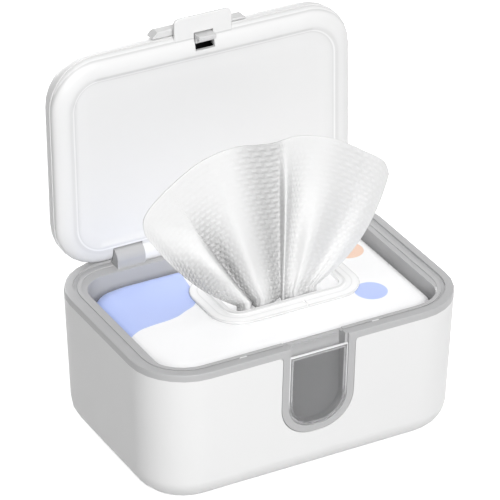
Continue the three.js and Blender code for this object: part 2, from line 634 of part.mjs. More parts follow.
function lidPanel() {
  const roll = [];
  const rollInside = [];
  const steps = roundSteps + 2;
  const shoulder = lid.seatHeight - fit;
  for (let i = 0; i <= steps; i++) {
    const angle = (i / steps) * Math.PI / 2;
    roll.push(lidRing(lid.seam + (lid.rollWidth - lid.seam) * (1 - Math.cos(angle)),
      shoulder - (lid.rollDrop - fit) * Math.sin(angle)));
  }
  const skirtOuter = lid.wall + fit;
  const skirtInner = skirtOuter + lid.skirtWall;
  const skirtTop = lid.seatHeight + lid.skirtHeight;
  const innerRoll = lid.rollDrop - lid.panelWall;
  for (let i = 0; i <= edgeSteps; i++) {
    const angle = (i / edgeSteps) * Math.PI / 2;
    rollInside.push(lidRing(skirtInner + (lid.rollWidth - skirtInner) * (1 - Math.cos(angle)),
      lid.seatHeight - innerRoll * Math.sin(angle)));
  }
  const trayEdge = lid.rollWidth + lid.crest + lid.slopeWidth;
  const rings = [
    lidRing(trayEdge, trayFloor), lidRing(lid.rollWidth + lid.crest, crestBottom),
    ...roll.reverse(),
    lidRing(skirtOuter, shoulder), lidRing(skirtOuter, skirtTop), lidRing(skirtInner, skirtTop),
    ...rollInside,
    lidRing(trayEdge, trayFloor + lid.panelWall),
  ];
  let panel = solid(loft(rings));
  panel = panel.add(solid(thumbTab()));
  panel = cutFrom(panel, earSweep(1), earSweep(-1));
  panel = panel.add(solid(barrel(hinge.barrel)));
  const reach = ear.inner - hinge.clearance - hinge.pinReach;
  for (const side of [-1, 1]) {
    const ends = side < 0 ? [-ear.outer, -reach] : [reach, ear.outer];
    panel = cutFrom(panel,
      rod('x', hinge.pin + hinge.pinClearance, ...ends, [hingeY, hingeZ], smallFacets));
  }
  const holeHalf = rocker.stemHalf + tab.holeGap;
  panel = cutFrom(panel, box([-holeHalf, holeHalf],
    [lidFront - tab.holeFront, lidFront + tab.holeBack], [0, lidTop]));
  panel = cutFrom(panel, box([-lugInner, lugInner],
    [lidFront + lid.wall, pivotY], [lid.seatHeight + fit, lidTop]));

  const lugTop = pivotZ + rocker.lugHalf;
  for (const side of [-1, 1]) {
    const from = Math.min(side * lugInner, side * lugOuter);
    const width = lugOuter - lugInner;
    const lug = new THREE.Shape();
    lug.moveTo(pivotY - rocker.lugHalf, lid.seatHeight - tab.drop);
    lug.lineTo(pivotY + rocker.lugHalf, lid.seatHeight - tab.drop);
    lug.absarc(pivotY, lugTop - rocker.lugHalf, rocker.lugHalf, 0, Math.PI);
    lug.closePath();
    panel = panel.add(solid(alongX(lug, from, from + width)));
  }
  panel = cutFrom(panel, rod('x', rocker.pin + rocker.pinClearance,
    -latchPinHalf - overrun, latchPinHalf + overrun, [pivotY, pivotZ], smallFacets));
  const postEnd = pivotY + torsion.leg;
  const postTop = pivotZ - torsion.mean - torsion.wire / 2 - fit;
  panel = panel.add(solid(box([torsion.start, lugOuter], [postEnd - torsion.post, postEnd],
    [crestBottom + lid.panelWall / 2, postTop])));
  return geometryOf(panel);
}

// The press bar, low on its right and standing out past the tab on its left, its web to the
// pivot, and the hook that hangs through the tab's hole
function latchRocker() {
  const outerFace = lidFront - rocker.barFront;
  const innerFace = lidFront - rocker.barGap;
  const low = lid.seatHeight + rocker.barLow;
  const high = lid.seatHeight + rocker.barHigh;
  const r = rocker.barRound;
  const section = new THREE.Shape();
  section.moveTo(innerFace, low);
  section.lineTo(innerFace, high);
  section.lineTo(outerFace + 2 * r, high);
  section.absarc(outerFace + 2 * r, high - 2 * r, 2 * r, Math.PI / 2, Math.PI);
  section.lineTo(outerFace, low + r);
  section.absarc(outerFace + r, low + r, r, Math.PI, 1.5 * Math.PI);
  section.closePath();
  const bar = solid(alongX(section, -rocker.barHalf, rocker.barHalf));
  const lowFace = innerFace - rocker.barLip;
  const plan = new THREE.Shape([
    [-rocker.barHalf, innerFace], [rocker.barHalf, innerFace], [rocker.barHalf - rocker.barLip, lowFace],
    [rocker.barStep + rocker.barRamp, lowFace], [rocker.barStep, outerFace - fit],
    [-rocker.barHalf + rocker.barEnd, outerFace - fit],
  ].map(([x, y]) => new THREE.Vector2(x, y)));
  let piece = bar.intersect(solid(alongZ(plan, low - overrun, high + overrun)));
  const stemFront = lidFront + rocker.stemInset;
  const webBack = pivotY - rocker.boss - rocker.webBack;
  const hookTip = lid.seatHeight - rocker.tip;
  piece = piece.add(join(
    box([-rocker.webHalf, rocker.webHalf], [innerFace - overrun / 2, webBack],
      [lid.seatHeight + rocker.webLow, lid.seatHeight + rocker.webHigh]),
    box([-rocker.bossHalf, rocker.bossHalf], [webBack - fit, pivotY],
      [lid.seatHeight + rocker.webLow, lid.seatHeight + rocker.webHigh]),
    rod('x', rocker.boss, -rocker.bossHalf, rocker.bossHalf, [pivotY, pivotZ]),
    box([-rocker.stemHalf, rocker.stemHalf], [stemFront, stemFront + rocker.blockThickness],
      [lid.seatHeight - rocker.blockDrop, pivotZ]),
    box([-rocker.stemHalf, rocker.stemHalf], [stemFront, stemFront + rocker.stemThickness],
      [hookTip, pivotZ])));
  const stemBack = stemFront + rocker.stemThickness;
  piece = piece.add(solid(alongX([
    [stemBack - fit, hookTip], [stemBack, hookTip],
    [stemBack + rocker.nose, hookTip + rocker.noseHeight / 2],
    [stemBack + rocker.nose, hookTip + rocker.noseHeight], [stemBack - fit, hookTip + rocker.noseHeight],
  ], -rocker.stemHalf, rocker.stemHalf)));
  return geometryOf(cutFrom(piece, rod('x', rocker.pin + rocker.pinClearance,
    -rocker.barHalf, rocker.barHalf, [pivotY, pivotZ], smallFacets)));
}

// A torsion spring round the rocker's pin: one leg on the panel's post, one over the web
function latchSpring() {
  const points = [];
  const { stepsPerTurn } = torsion;
  const back = pivotY + torsion.leg;
  const front = pivotY - torsion.frontLeg;
  points.push([torsion.start, back, pivotZ - torsion.mean],
    [torsion.start, (back + pivotY) / 2, pivotZ - torsion.mean]);
  for (let i = 0; i <= torsion.turns * stepsPerTurn + stepsPerTurn / 2; i++) {
    const angle = -Math.PI / 2 - (i / stepsPerTurn) * 2 * Math.PI;
    points.push([torsion.start + torsion.pitch * i / stepsPerTurn,
      pivotY + torsion.mean * Math.cos(angle), pivotZ + torsion.mean * Math.sin(angle)]);
  }
  const end = torsion.start + torsion.pitch * (torsion.turns + 0.5);
  points.push([end, (front + pivotY) / 2, pivotZ + torsion.mean], [end, front, pivotZ + torsion.mean]);
  return tube(points, torsion.wire / 2, points.length, torsion.sides);
}

function refillPack() {
  const outline = { width: pack.width, depth: pack.depth, corner: pack.corner, y: pack.y };
  const bottom = liner.floorTop + plate.thickness;
  const rings = [];
  const sides = roundSteps;
  for (let i = 0; i <= sides; i++) {
    const angle = (i / sides) * Math.PI / 2;
    rings.push(inset(outline, pack.foot * (1 - Math.sin(angle)),
      bottom + pack.foot * (1 - Math.cos(angle))));
  }
  for (let i = 0; i <= sides; i++) {
    const angle = (i / sides) * Math.PI / 2;
    rings.push(inset(outline, pack.shoulderWidth * (1 - Math.cos(angle)),
      pack.top - pack.shoulder * (1 - Math.sin(angle))));
  }
  const slot = {
    width: pack.slotWidth, depth: pack.slotDepth, corner: pack.slotCorner, x: pack.slotX, y: pack.y,
  };
  return geometryOf(cutFrom(solid(loft(rings)),
    plateOf(slot, pack.top - pack.slotSink, pack.top + overrun)));
}

// The collar's low outer wall, a slope up to the bead round the opening, and a latch slit
function packCollar() {
  const at = { x: collar.x, y: collar.y };
  const outer = { width: collar.width, depth: collar.depth, corner: collar.corner, ...at };
  const opening = { width: collar.inner, depth: collar.innerDepth, corner: collar.innerCorner, ...at };
  const outerTop = pack.top + collar.base;
  const beadFoot = outerTop + collar.rise;
  const top = pack.top + collar.height;
  const bead = inset(opening, -collar.bead, 0);
  const beadEdge = inset(opening, collar.round - collar.bead, 0);
  const frame = solid(loft([
    ring({ ...outer, z: pack.top }), ring({ ...outer, z: outerTop - collar.round }),
    inset(outer, collar.round, outerTop), raise(bead, beadFoot), raise(beadEdge, top),
  ]));
  const slitX = collar.x + collar.notchAt;
  const slitFront = collar.y - collar.depth / 2;
  return geometryOf(cutFrom(frame, plateOf(opening, pack.top - overrun, top + overrun),
    box([slitX, slitX + collar.notch], [slitFront - overrun, slitFront + collar.notchDepth],
      [pack.top + collar.base / 2, top + overrun])));
}

// The drawn wipe fans out above the collar, in soft pleats that open towards its free edge
function wipeSheet() {
  const bottom = pack.top - pack.slotSink + fit;
  const neckHeight = pack.top - wipe.neckDrop;
  const neckLeft = pack.slotX - pack.slotWidth / 2 + wipe.neckInside;
  const neckRight = pack.slotX + pack.slotWidth / 2 + wipe.neckOutside;
  const edge = new THREE.SplineCurve(edgeShares.map(([x, z]) => new THREE.Vector2(
    wipe.reach * x, neckHeight + wipe.reach * z)));
  const depths = new THREE.SplineCurve(depthShares.map((share, i) => new THREE.Vector2(
    i, wipe.pleat * share)));
  const pleats = pleatShares.length - 1;
  const columns = pleats * wipe.columnsPerPleat;
  const { lerp, smoothstep } = THREE.MathUtils;
  const between = (values, at) => {
    const first = Math.min(Math.floor(at), pleats - 1);
    return lerp(values[first], values[first + 1], at - first);
  };

  // A place on the cloth, across it from 0 to 1 and up it from the slot's rim to the free edge
  const onFan = (across, up) => {
    const at = across * pleats;
    const side = between(pleatShares, at);
    const foot = new THREE.Vector2(lerp(neckLeft, neckRight, (side + 1) / 2), neckHeight);
    const tip = edge.getPointAt((side + 1) / 2);
    const outward = new THREE.Vector2(tip.y - foot.y, foot.x - tip.x).normalize();
    const bow = side < 0 ? wipe.bowLeft : wipe.bowRight;
    const middle = foot.clone().lerp(tip, side < 0 ? bowShares.left : bowShares.right)
      .addScaledVector(outward, bow * side * Math.abs(side));
    const flat = new THREE.QuadraticBezierCurve(foot, middle, tip).getPoint(up);
    const opened = lerp(foldShares.neck, 1, smoothstep(up, 0, foldShares.deepest));
    const end = between(pleatEndShares, at);
    const faded = lerp(1, foldShares.edge, smoothstep(up, foldShares.deepest, end));
    const back = depths.getPoint(across).y * opened * faded - wipe.neckForward * (1 - up);
    return new THREE.Vector3(
      flat.x + foldShares.across * back, pack.y + back, flat.y - foldShares.down * back);
  };
  const rimShare = 1 / wipe.rows;
  const place = (across, v) => {
    const point = onFan(across, Math.max(0, (v - rimShare) / (1 - rimShare)));
    return v < rimShare ? point.setZ(lerp(bottom, point.z, v / rimShare)) : point;
  };
  const half = wipe.thickness / 2;
  const vertices = [];
  const row = columns + 1;
  const sheet = (shift) => {
    for (let j = 0; j <= wipe.rows; j++) {
      for (let i = 0; i <= columns; i++) {
        const p = place(i / columns, j / wipe.rows);
        vertices.push(p.x, p.y + shift, p.z);
      }
    }
  };
  sheet(-half);
  sheet(half);
  const index = [];
  const back = row * (wipe.rows + 1);
  const quad = (a, b, c, d) => index.push(a, b, c, a, c, d);
  for (let j = 0; j < wipe.rows; j++) {
    for (let i = 0; i < columns; i++) {
      const a = j * row + i;
      quad(a, a + 1, a + row + 1, a + row);
      quad(back + a + 1, back + a, back + a + row, back + a + row + 1);
    }
    const left = j * row;
    const right = left + columns;
    quad(back + left, left, left + row, back + left + row);
    quad(right, back + right, back + right + row, right + row);
  }
  for (let i = 0; i < columns; i++) {
    const top = wipe.rows * row + i;
    quad(back + i, back + i + 1, i + 1, i);
    quad(top, top + 1, back + top + 1, back + top);
  }
  const geometry = new THREE.BufferGeometry();
  geometry.setAttribute('position', new THREE.Float32BufferAttribute(vertices, 3));
  geometry.setIndex(index);
  return geometry;
}

function baseCover() {
  const outline = { width: cover.width, depth: cover.depth, corner: cover.corner };
  let piece = solid(plateOf(outline, 0, cover.thickness));
  const ribOuter = inset(outline, cover.seat + cover.gap, 0);
  const ribInner = inset(outline, cover.seat + cover.gap + cover.rib, 0);
  const top = cover.thickness + cover.ribHeight;
  const rim = solid(loft([raise(ribOuter, cover.thickness / 2), raise(ribOuter, top)]))
    .subtract(solid(loft([raise(ribInner, 0), raise(ribInner, top + overrun)])));
  piece = piece.add(rim);
  const hole = (x, y) => [
    rod('z', screw.shank + fit, -overrun, cover.thickness + overrun, [x, y], smallFacets),
    rod('z', screw.head + fit / 2, -overrun, screw.headHeight - fit, [x, y], smallFacets),
  ];
  for (const [x, y] of corners(screw.x, screw.y)) piece = cutFrom(piece, ...hole(x, y));
  for (const [x, y] of corners(board.width / 2 - board.holeInset, board.depth / 2 - board.holeInset)) {
    piece = piece.add(solid(rod('z', board.standoff, cover.thickness / 2, board.z,
      [x + boardX, y + boardY], smallFacets)));
  }
  const vents = [];
  for (let i = 0; i < cover.vents; i++) {
    const x = cover.ventX + (i - (cover.vents - 1) / 2) * cover.ventPitch;
    vents.push(box([x - cover.ventWidth / 2, x + cover.ventWidth / 2], [-cover.ventHalf, cover.ventHalf],
      [-overrun, cover.thickness + overrun]));
  }
  return geometryOf(cutFrom(piece, ...vents));
}

function screwOf(headZ, height, head, shank, length) {
  return geometryOf(cutFrom(
    join(rod('z', head, headZ, headZ + height, [0, 0], smallFacets),
      rod('z', shank, headZ + height / 2, headZ + length, [0, 0], smallFacets)),
    box([-screw.slotHalf, screw.slotHalf], [-head, head], [headZ - overrun, headZ + screw.socket])));
}

function rubberFoot() {
  const profile = [
    [0, -foot.height], [foot.radius - foot.round, -foot.height], [foot.radius, -foot.height + foot.round],
    [foot.radius, foot.pocket], [0, foot.pocket],
  ].map(([r, z]) => new THREE.Vector2(r, z));
  return new THREE.LatheGeometry(profile, facets).rotateX(Math.PI / 2);
}

function controlBoard() {
  const z = board.z;
  const top = z + board.thickness;
  const half = [board.width / 2, board.depth / 2];
  const part = (x, y, w, d, h) => box([boardX + x - w / 2, boardX + x + w / 2],
    [boardY + y - d / 2, boardY + y + d / 2], [top - fit, top + h]);
  const pieces = boardPartShares.map(([x, y, w, d, h]) => part(
    x * board.width, y * board.depth, w * board.width, d * board.depth, h * board.standoff));
  return geometryOf(join(box([boardX - half[0], boardX + half[0]],
    [boardY - half[1], boardY + half[1]], [z, top]), ...pieces));
}

function insulationPad() {
  const under = floorUnder - film.thickness - pad.thickness;
  const outline = { width: pad.width, depth: pad.depth, corner: pad.corner };
  return geometryOf(cutFrom(solid(plateOf(outline, under, under + pad.thickness)),
    box([padSlot.x - pad.slotWidth / 2, padSlot.x + pad.slotWidth / 2],
      [padSlot.y - pad.slotDepth / 2, padSlot.y + pad.slotDepth / 2],
      [under - overrun, under + pad.thickness + overrun])));
}

// A panel socket for the low-voltage supply, in the back wall
function dcInlet() {
  const wallOut = body.depth / 2 - taperAt(inlet.z) + fit;
  const bodyPart = rod('y', inlet.body, wallOut - inlet.length, wallOut + fit, [inlet.x, inlet.z]);
  const flange = rod('y', inlet.flange, wallOut, wallOut + inlet.flangeThickness, [inlet.x, inlet.z]);
  const bore = rod('y', inlet.bore, wallOut + inlet.flangeThickness - inlet.boreDepth,
    wallOut + inlet.flangeThickness + overrun, [inlet.x, inlet.z]);
  const pin = rod('y', inlet.pin, wallOut - inlet.length + fit, wallOut - fit,
    [inlet.x, inlet.z], smallFacets);
  return geometryOf(cutFrom(join(bodyPart, flange), bore).add(solid(pin)));
}

function inletNut() {
  const inner = body.depth / 2 - taperAt(inlet.z) - body.wall - 3 * fit;
  const nut = new THREE.CylinderGeometry(inlet.nut, inlet.nut, inlet.nutThickness, 6)
    .translate(inlet.x, inner - inlet.nutThickness / 2, inlet.z);
  return geometryOf(cutFrom(solid(nut), rod('y', inlet.body + fit / 2, 0, body.depth, [inlet.x, inlet.z])));
}

// Leads that the casing holds from end to end
function heaterLead() {
  const start = [leadX, boardY - board.depth / 2 - fit - lead.radius,
    board.z + board.thickness];
  const topZ = floorUnder - film.thickness - lead.radius - fit;
  const end = [padSlot.x + pad.slotWidth / 2 - lead.rise, padSlot.y, topZ];
  const middle = [(start[0] + end[0]) / 2, (start[1] + end[1]) / 2, (start[2] + end[2]) / 2];
  return tube([start, middle, end], lead.radius, lead.heaterSteps, lead.sides);
}

function inletLead() {
  const wallOut = body.depth / 2 - taperAt(inlet.z) + fit;
  const start = [inlet.x, wallOut - inlet.length - 2 * fit, inlet.z];
  const end = [boardX + board.width / 2 - board.holeInset, boardY + board.depth / 2 + fit + lead.radius,
    board.z + board.thickness / 2];
  const under = board.z + lead.rise;
  const downY = start[1] - lead.turn;
  return tube([start, [start[0], start[1] - lead.turn / 2, start[2]],
    [start[0], downY, start[2] - lead.turn], [start[0], downY, floorUnder],
    [start[0], downY - 2 * lead.turn, under],
    [(start[0] + end[0]) / 2, (downY - 2 * lead.turn + end[1]) / 2, under], end],
  lead.radius, lead.inletSteps, lead.sides);
}

// The body
add(group, 'outer_casing', outerCasing(), whiteShell);
add(group, 'inner_liner', innerLiner(), greyLiner);
add(group, 'window_pane', windowPane(), smokedPane);
add(group, 'rim_gasket_left', rimGasket(-1), greyRubber);
add(group, 'rim_gasket_right', rimGasket(1), greyRubber);
for (const [side, name] of [[-1, 'left'], [1, 'right']]) {
  const x = bumper.x + side * bumper.spread;
  const front = -body.depth / 2 + bumper.offset;
  add(group, `rim_bumper_${name}`, box([x - bumper.width / 2, x + bumper.width / 2],
    [front, front + bumper.depth], [ledgeTop, ledgeTop + bumper.height]), whitePad);
  const pinInner = side * (ear.inner - hinge.clearance - hinge.pinReach + fit);
  const pinOuter = side * (ear.outer - hinge.pinInset);
  add(group, `hinge_pin_${name}`, rod('x', hinge.pin, Math.min(pinInner, pinOuter),
    Math.max(pinInner, pinOuter), [hingeY, hingeZ], smallFacets), steel);
}
const plateOutline = { width: plate.width, depth: plate.depth, corner: plate.corner, y: tubMiddle };
add(group, 'heat_plate', plateOf(plateOutline, liner.floorTop, liner.floorTop + plate.thickness), aluminium);
const filmOutline = {
  width: pad.width - 2 * film.edge, depth: pad.depth - 2 * film.edge, corner: film.corner,
};
add(group, 'heating_film', plateOf(filmOutline, floorUnder - film.thickness, floorUnder), amberFilm);
add(group, 'insulation_pad', insulationPad(), foam);
const underFilm = floorUnder - film.thickness;
const sensorX = padSlot.x - sensor.spread;
add(group, 'temperature_sensor', rod('x', sensor.bead, sensorX - sensor.length / 2,
  sensorX + sensor.length / 2, [padSlot.y, underFilm - sensor.bead - fit / 2], smallFacets), blackPlastic);
const fuseHalf = sensor.fuseLength / 2 - sensor.fuse;
add(group, 'thermal_fuse', rod('y', sensor.fuse, padSlot.y - fuseHalf, padSlot.y + fuseHalf,
  [padSlot.x, underFilm - sensor.fuse - fit / 2], smallFacets), steel);
add(group, 'control_board', controlBoard(), greenBoard);
add(group, 'heater_lead', heaterLead(), leadSleeve);
add(group, 'dc_inlet', dcInlet(), blackPlastic);
add(group, 'inlet_nut', inletNut(), steel);
add(group, 'inlet_lead', inletLead(), blackPlastic);
add(group, 'base_cover', baseCover(), whiteShell);
corners(screw.x, screw.y).forEach(([x, y], i) => {
  const part = screwOf(0, screw.headHeight - fit, screw.head, screw.shank, screw.length);
  add(group, `cover_screw_${i + 1}`, part.translate(x, y, 0), steel);
});
corners(foot.x, foot.y).forEach(([x, y], i) => {
  add(group, `body_screw_${i + 1}`, screwOf(foot.pocket + fit, post.headHeight, post.head,
    post.screw - fit / 2, post.length).translate(x, y, 0), steel);
  add(group, `rubber_foot_${i + 1}`, rubberFoot().translate(x, y, 0), greyRubber);
});
add(group, 'refill_pack', refillPack(), packFilm);
add(group, 'pack_collar', packCollar(), collarPlastic);
add(group, 'wipe_sheet', wipeSheet(), wipeCloth);

// The lid turns back about the hinge from closed
add(openLid, 'lid_shell', lidShell(), whiteShell);
add(openLid, 'lid_panel', lidPanel(), whiteShell);
const lidPadLow = trayFloor + lid.panelWall + fit;
add(openLid, 'lid_insulation', plateOf({ width: lidPad.width, depth: lidPad.depth, corner: lidPad.corner },
  lidPadLow, lidPadLow + lidPad.height), foam);
add(openLid, 'latch_rocker', latchRocker(), whiteShell);
add(openLid, 'latch_pin', rod('x', rocker.pin, -latchPinHalf, latchPinHalf,
  [pivotY, pivotZ], smallFacets), steel);
add(openLid, 'latch_spring', latchSpring(), steel);
for (const mesh of openLid.children) mesh.position.set(0, -hingeY, -hingeZ);
openLid.position.set(0, hingeY, hingeZ);
openLid.rotation.x = THREE.MathUtils.degToRad(-lid.openAngle);
group.add(openLid);

// The feet stand on Z = 0, and Y = 0 is midway between the foremost and rearmost points
group.updateMatrixWorld(true);
const bounds = new THREE.Box3().setFromObject(group, true);
group.position.set(0, -(bounds.min.y + bounds.max.y) / 2, foot.height);
group.updateMatrixWorld(true);

export default group;
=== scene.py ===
"""A baby wipe warmer with its lid open: finishes and soft pieces round the CAD frame."""

import bisect
import math

import bmesh
import bpy
from mathutils import Matrix, Vector, noise


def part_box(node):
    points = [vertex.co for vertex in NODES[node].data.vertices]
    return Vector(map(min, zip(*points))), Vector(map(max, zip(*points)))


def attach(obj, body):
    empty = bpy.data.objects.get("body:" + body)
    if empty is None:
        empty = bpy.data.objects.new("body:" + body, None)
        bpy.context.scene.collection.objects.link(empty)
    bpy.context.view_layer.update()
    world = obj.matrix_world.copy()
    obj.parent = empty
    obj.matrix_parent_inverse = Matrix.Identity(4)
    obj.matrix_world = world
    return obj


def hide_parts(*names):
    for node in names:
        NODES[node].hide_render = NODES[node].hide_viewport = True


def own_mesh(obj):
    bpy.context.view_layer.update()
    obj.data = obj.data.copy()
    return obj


bl_info = {
    "name": "Wipe warmer",
    "version": (1, 0, 0),
    "blender": (4, 5, 0),
    "location": "View3D > Sidebar > Wipe warmer",
    "description": "Builds an open wipe warmer with its refill pack and a drawn wipe",
    "category": "Object",
}

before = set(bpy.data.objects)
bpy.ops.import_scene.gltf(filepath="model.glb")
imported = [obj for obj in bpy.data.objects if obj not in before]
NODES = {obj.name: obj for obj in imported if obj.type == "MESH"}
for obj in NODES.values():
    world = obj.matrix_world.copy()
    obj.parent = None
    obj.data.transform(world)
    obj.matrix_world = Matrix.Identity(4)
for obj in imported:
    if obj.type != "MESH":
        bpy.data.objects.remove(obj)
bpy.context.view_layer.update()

MM = 0.001
PACK_LOW, PACK_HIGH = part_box("refill_pack")
COLLAR_LOW, COLLAR_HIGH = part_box("pack_collar")
PANE_LOW, PANE_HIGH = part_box("window_pane")
FOOT_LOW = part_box("rubber_foot_1")[0]

# Corners nearer than WELD are one, faces flatter than FLAT are one face, and edges sharper than
# SHARP, or CUT on foam, are rounded
WELD = 2e-6
FLAT, SHARP, CUT = math.radians(0.6), math.radians(35), math.radians(45)

# Radii of edges in metres, and a foam pad's as a share of its thickness
THIN_EDGE, FINE_EDGE, SOFT_EDGE, COLLAR_EDGE = 0.0001, 0.0002, 0.0003, 0.0004
FOAM_SOFTNESS = 0.18

# Plain finishes: the material's name, its colour or the setting that holds it, roughness, scale
# and height of the grain, strength of the marks of handling, clear coat, metal
FINISHES = {
    "shell": ("White satin plastic", "shell_color", 0.42, 2600, 0.000006, 0.08, 0, 0),
    "liner": ("Grey satin plastic", "liner_color", 0.38, 2600, 0.000006, 0.08, 0, 0),
    "latch": ("Latch plastic", "latch_color", 0.42, 2600, 0.000006, 0.08, 0, 0),
    "collar": ("Glossy white plastic", (0.88, 0.88, 0.88), 0.22, 2600, 0.000004, 0.05, 0.3, 0),
    "black": ("Black plastic", (0.02, 0.02, 0.022), 0.4, 1800, 0.00001, 0.1, 0, 0),
    "gasket": ("Grey silicone", (0.45, 0.45, 0.455), 0.62, 1500, 0.00001, 0.1, 0, 0),
    "bumper": ("White silicone", (0.85, 0.85, 0.85), 0.55, 1500, 0.00001, 0.1, 0, 0),
    "foam": ("Closed cell foam", (0.7, 0.7, 0.68), 0.85, 900, 0.00008, 0.1, 0, 0),
    "amber": ("Amber film", (0.42, 0.2, 0.03), 0.3, 500, 0.00002, 0.1, 0, 0),
    "board": ("Green solder resist", (0.03, 0.15, 0.06), 0.35, 400, 0.00002, 0.1, 0, 0),
    "lead": ("Red lead sleeve", (0.45, 0.05, 0.04), 0.45, 900, 0.00001, 0.1, 0, 0),
    "steel": ("Drawn steel", (0.55, 0.56, 0.57), 0.28, 1800, 0.00001, 0.1, 0, 1),
    "aluminium": ("Rolled aluminium", (0.62, 0.63, 0.64), 0.33, 700, 0.00001, 0.12, 0, 1),
}

# The outline that the lid panel's painted shade follows, drawn as if the lid were closed: the point
# (y, z) and the degrees that it is turned back by, its half width and half depth, and the radius
# of its corners. It lies 2 mm nearer the hinge than the panel's own edge.
LID_TURN = (0.069, 0.096)
LID_OPEN = 92.1
LID_HALF = (0.104, 0.0704)
LID_CORNER = 0.0312
# Painted shade and a painted highlight on the panel, for the shade of its edge seam and crest and
# the light on the crest's top, with the whole panel painted a little darker than the shell for the
# stronger light it gets: millimetres inward from that outline, and the share of its colour
CREST_PAINTED_SHADES = (
    (-1, 0.95), (-0.4, 0.95), (0, 0.76), (0.6, 0.82), (1.5, 0.93), (5, 0.95), (9.5, 0.93), (11.8, 0.84),
    (12.6, 0.86), (13, 1.0), (13.6, 1.0), (14, 0.84), (15, 0.9), (19, 0.93), (25, 0.93),
)

# The hollow behind the latch's opening, where a painted shadow stands in for its darkness: its middle
# and half width along x, its middle and half height along z, its front and back along y, and the
# colour of that painted shadow
HOLLOW_ACROSS, HOLLOW_LEVEL = (0.009, 0.009), (0.217, 0.01)
HOLLOW_FRONT, HOLLOW_BACK = 0.068, 0.0822
HOLLOW_SHADOW_COLOR = (0.008, 0.008, 0.008, 1)

# The pane's rim, where pale lines are painted as highlights for the light that its edges carry: its
# width, the painted highlight over that width, and how high its fainter foot is as a share of the
# half width, how soon that ends, and the share of painted highlight there
PANE_RIM = 0.006
PANE_RIM_HIGHLIGHT = (
    (0.0, 0.9), (0.1, 0.85), (0.14, 0.1), (0.26, 0.05), (0.31, 0.45), (0.38, 0.4), (0.45, 0.0), (1.0, 0.0),
)
PANE_FOOT, PANE_FOOT_FADE, PANE_FOOT_HIGHLIGHT = 0.6, 0.01, 0.25
RIM_HIGHLIGHT_COLOR = (0.85, 0.85, 0.86, 1)

# The collar of the pack: the radius of its corners, and the painted shade along its rim and inner
# steps, given as for the lid's panel
COLLAR_CORNER = 0.02
COLLAR_PAINTED_SHADES = (
    (-1, 0.7), (0.1, 0.72), (0.7, 0.9), (1.2, 1.0), (4.6, 0.98), (5.0, 0.86), (5.4, 0.98), (8.5, 0.96),
    (10.3, 0.8), (10.8, 0.95), (14, 0.9),
)

# The pack's film, in metres: the size of its faces, its waves per metre, over what distance they
# come on in from the edge and die away in under the collar, and over what distance the crown sags
FILM_FACE = 0.0018
FILM_WAVES = (30, 42, 60)
FILM_FREE, COLLAR_GRIP, CROWN_REACH = 0.01, 0.003, 0.03
# Its softer left end: where it starts, over what length, how much wider and deeper its shoulder is
LEFT_START, LEFT_LENGTH, LEFT_WIDER, LEFT_DEEPER = -0.07, 0.02, 0.9, 0.5
# Its sides: the height over which the foot is drawn in and by what share, how much the slack draws
# them in, and how near the edge a place counts as a side
FOOT_REACH, FOOT_DRAW, SLACK_DRAW, SIDE_SKIN = 0.009, 0.1, 4, 0.004
# The depth and the share of the height from which a place counts as the top, which has the slot
TOP_SKIN, TOP_SHARE = 0.0008, 0.9

# The print on the film, in millimetres: two round spots (x, y, radius), the ends of the blue
# area's border along x, its front and depth along y, and its points as shares of those
BLUE_SPOT, ORANGE_SPOT = (62, -37.9, 10.4), (74, 13.5, 11)
BORDER_LEFT, BORDER_RIGHT, BORDER_FRONT, BORDER_DEPTH = -95, -30, -38.5, 90
BORDER_SHARES = (
    (0.0, 0.297), (0.3, 0.3), (0.555, 0.317), (0.695, 0.362), (0.818, 0.409), (0.9, 0.5), (0.94, 0.651),
    (1.0, 0.9),
)
# One over the width of the print's edge in metres
PRINT_SHARPNESS = 3000.0

# The pack's slot: its middle along y and the level of its floor, in millimetres, then in metres its
# limits, the radius of its ends, its depth and the width of its sloping rim
SLOT_MIDDLE = (PACK_LOW.y + PACK_HIGH.y) / 2 / MM
SLOT_FLOOR = PACK_HIGH.z / MM - 3.4
SLOT_LOW = Vector((-0.0274, SLOT_MIDDLE * MM - 0.0135, 0))
SLOT_HIGH = Vector((0.0366, SLOT_MIDDLE * MM + 0.0135, 0))
SLOT_CORNER, SLOT_DEPTH, SLOT_RIM = 0.009, 0.0038, 0.0018

# The drawn wipe: half of its flat size in metres, and in millimetres the ends and top of its neck,
# how far forward the neck stands, the reach of the free edge and of the deepest fold, and how far
# the left and right sides bow out at which share of the height
WIPE_HALF = (0.09, 0.06)
NECK, NECK_TOP, NECK_FORWARD = (-17.8, 38.2), PACK_HIGH.z / MM - 2.6, 7
FAN_REACH, DEEPEST_FOLD = 100, 13
LEFT_BOW, RIGHT_BOW, BOW_SHARE = 11, 19, 0.45
# A fold that stands back by 1 shows this far to the right and lower down
LEAN_RIGHT, LEAN_DOWN = 0.55, 0.65
# Shares of the height: what lies in the slot, up to where the folds open from how open a start,
# and from where they fade by how much
IN_SLOT = 0.06
OPEN_UP_TO, OPEN_AT_FOOT = 0.35, 0.5
FADE_FROM, FADE_SHARE = 0.3, 0.97
# Uneven cloth: waves across and up, the place in the noise and the height in millimetres
CRUMPLES, GATHERS = (5, 3, 2.5, 1.1), (17, 1.2, 7.1, 1.0)
# Steps in which the free edge is measured
EDGE_STEPS = 400
# The free edge, from its left corner to its right one, as shares of its reach to the right and
# up from the neck
EDGE_SHARES = [
    (-0.805, 0.666), (-0.815, 0.766), (-0.748, 0.862), (-0.576, 0.99), (-0.404, 1.076), (-0.188, 1.106),
    (0.05, 1.071), (0.25, 1.074), (0.495, 0.991), (0.723, 0.845), (0.845, 0.751), (0.884, 0.651),
]
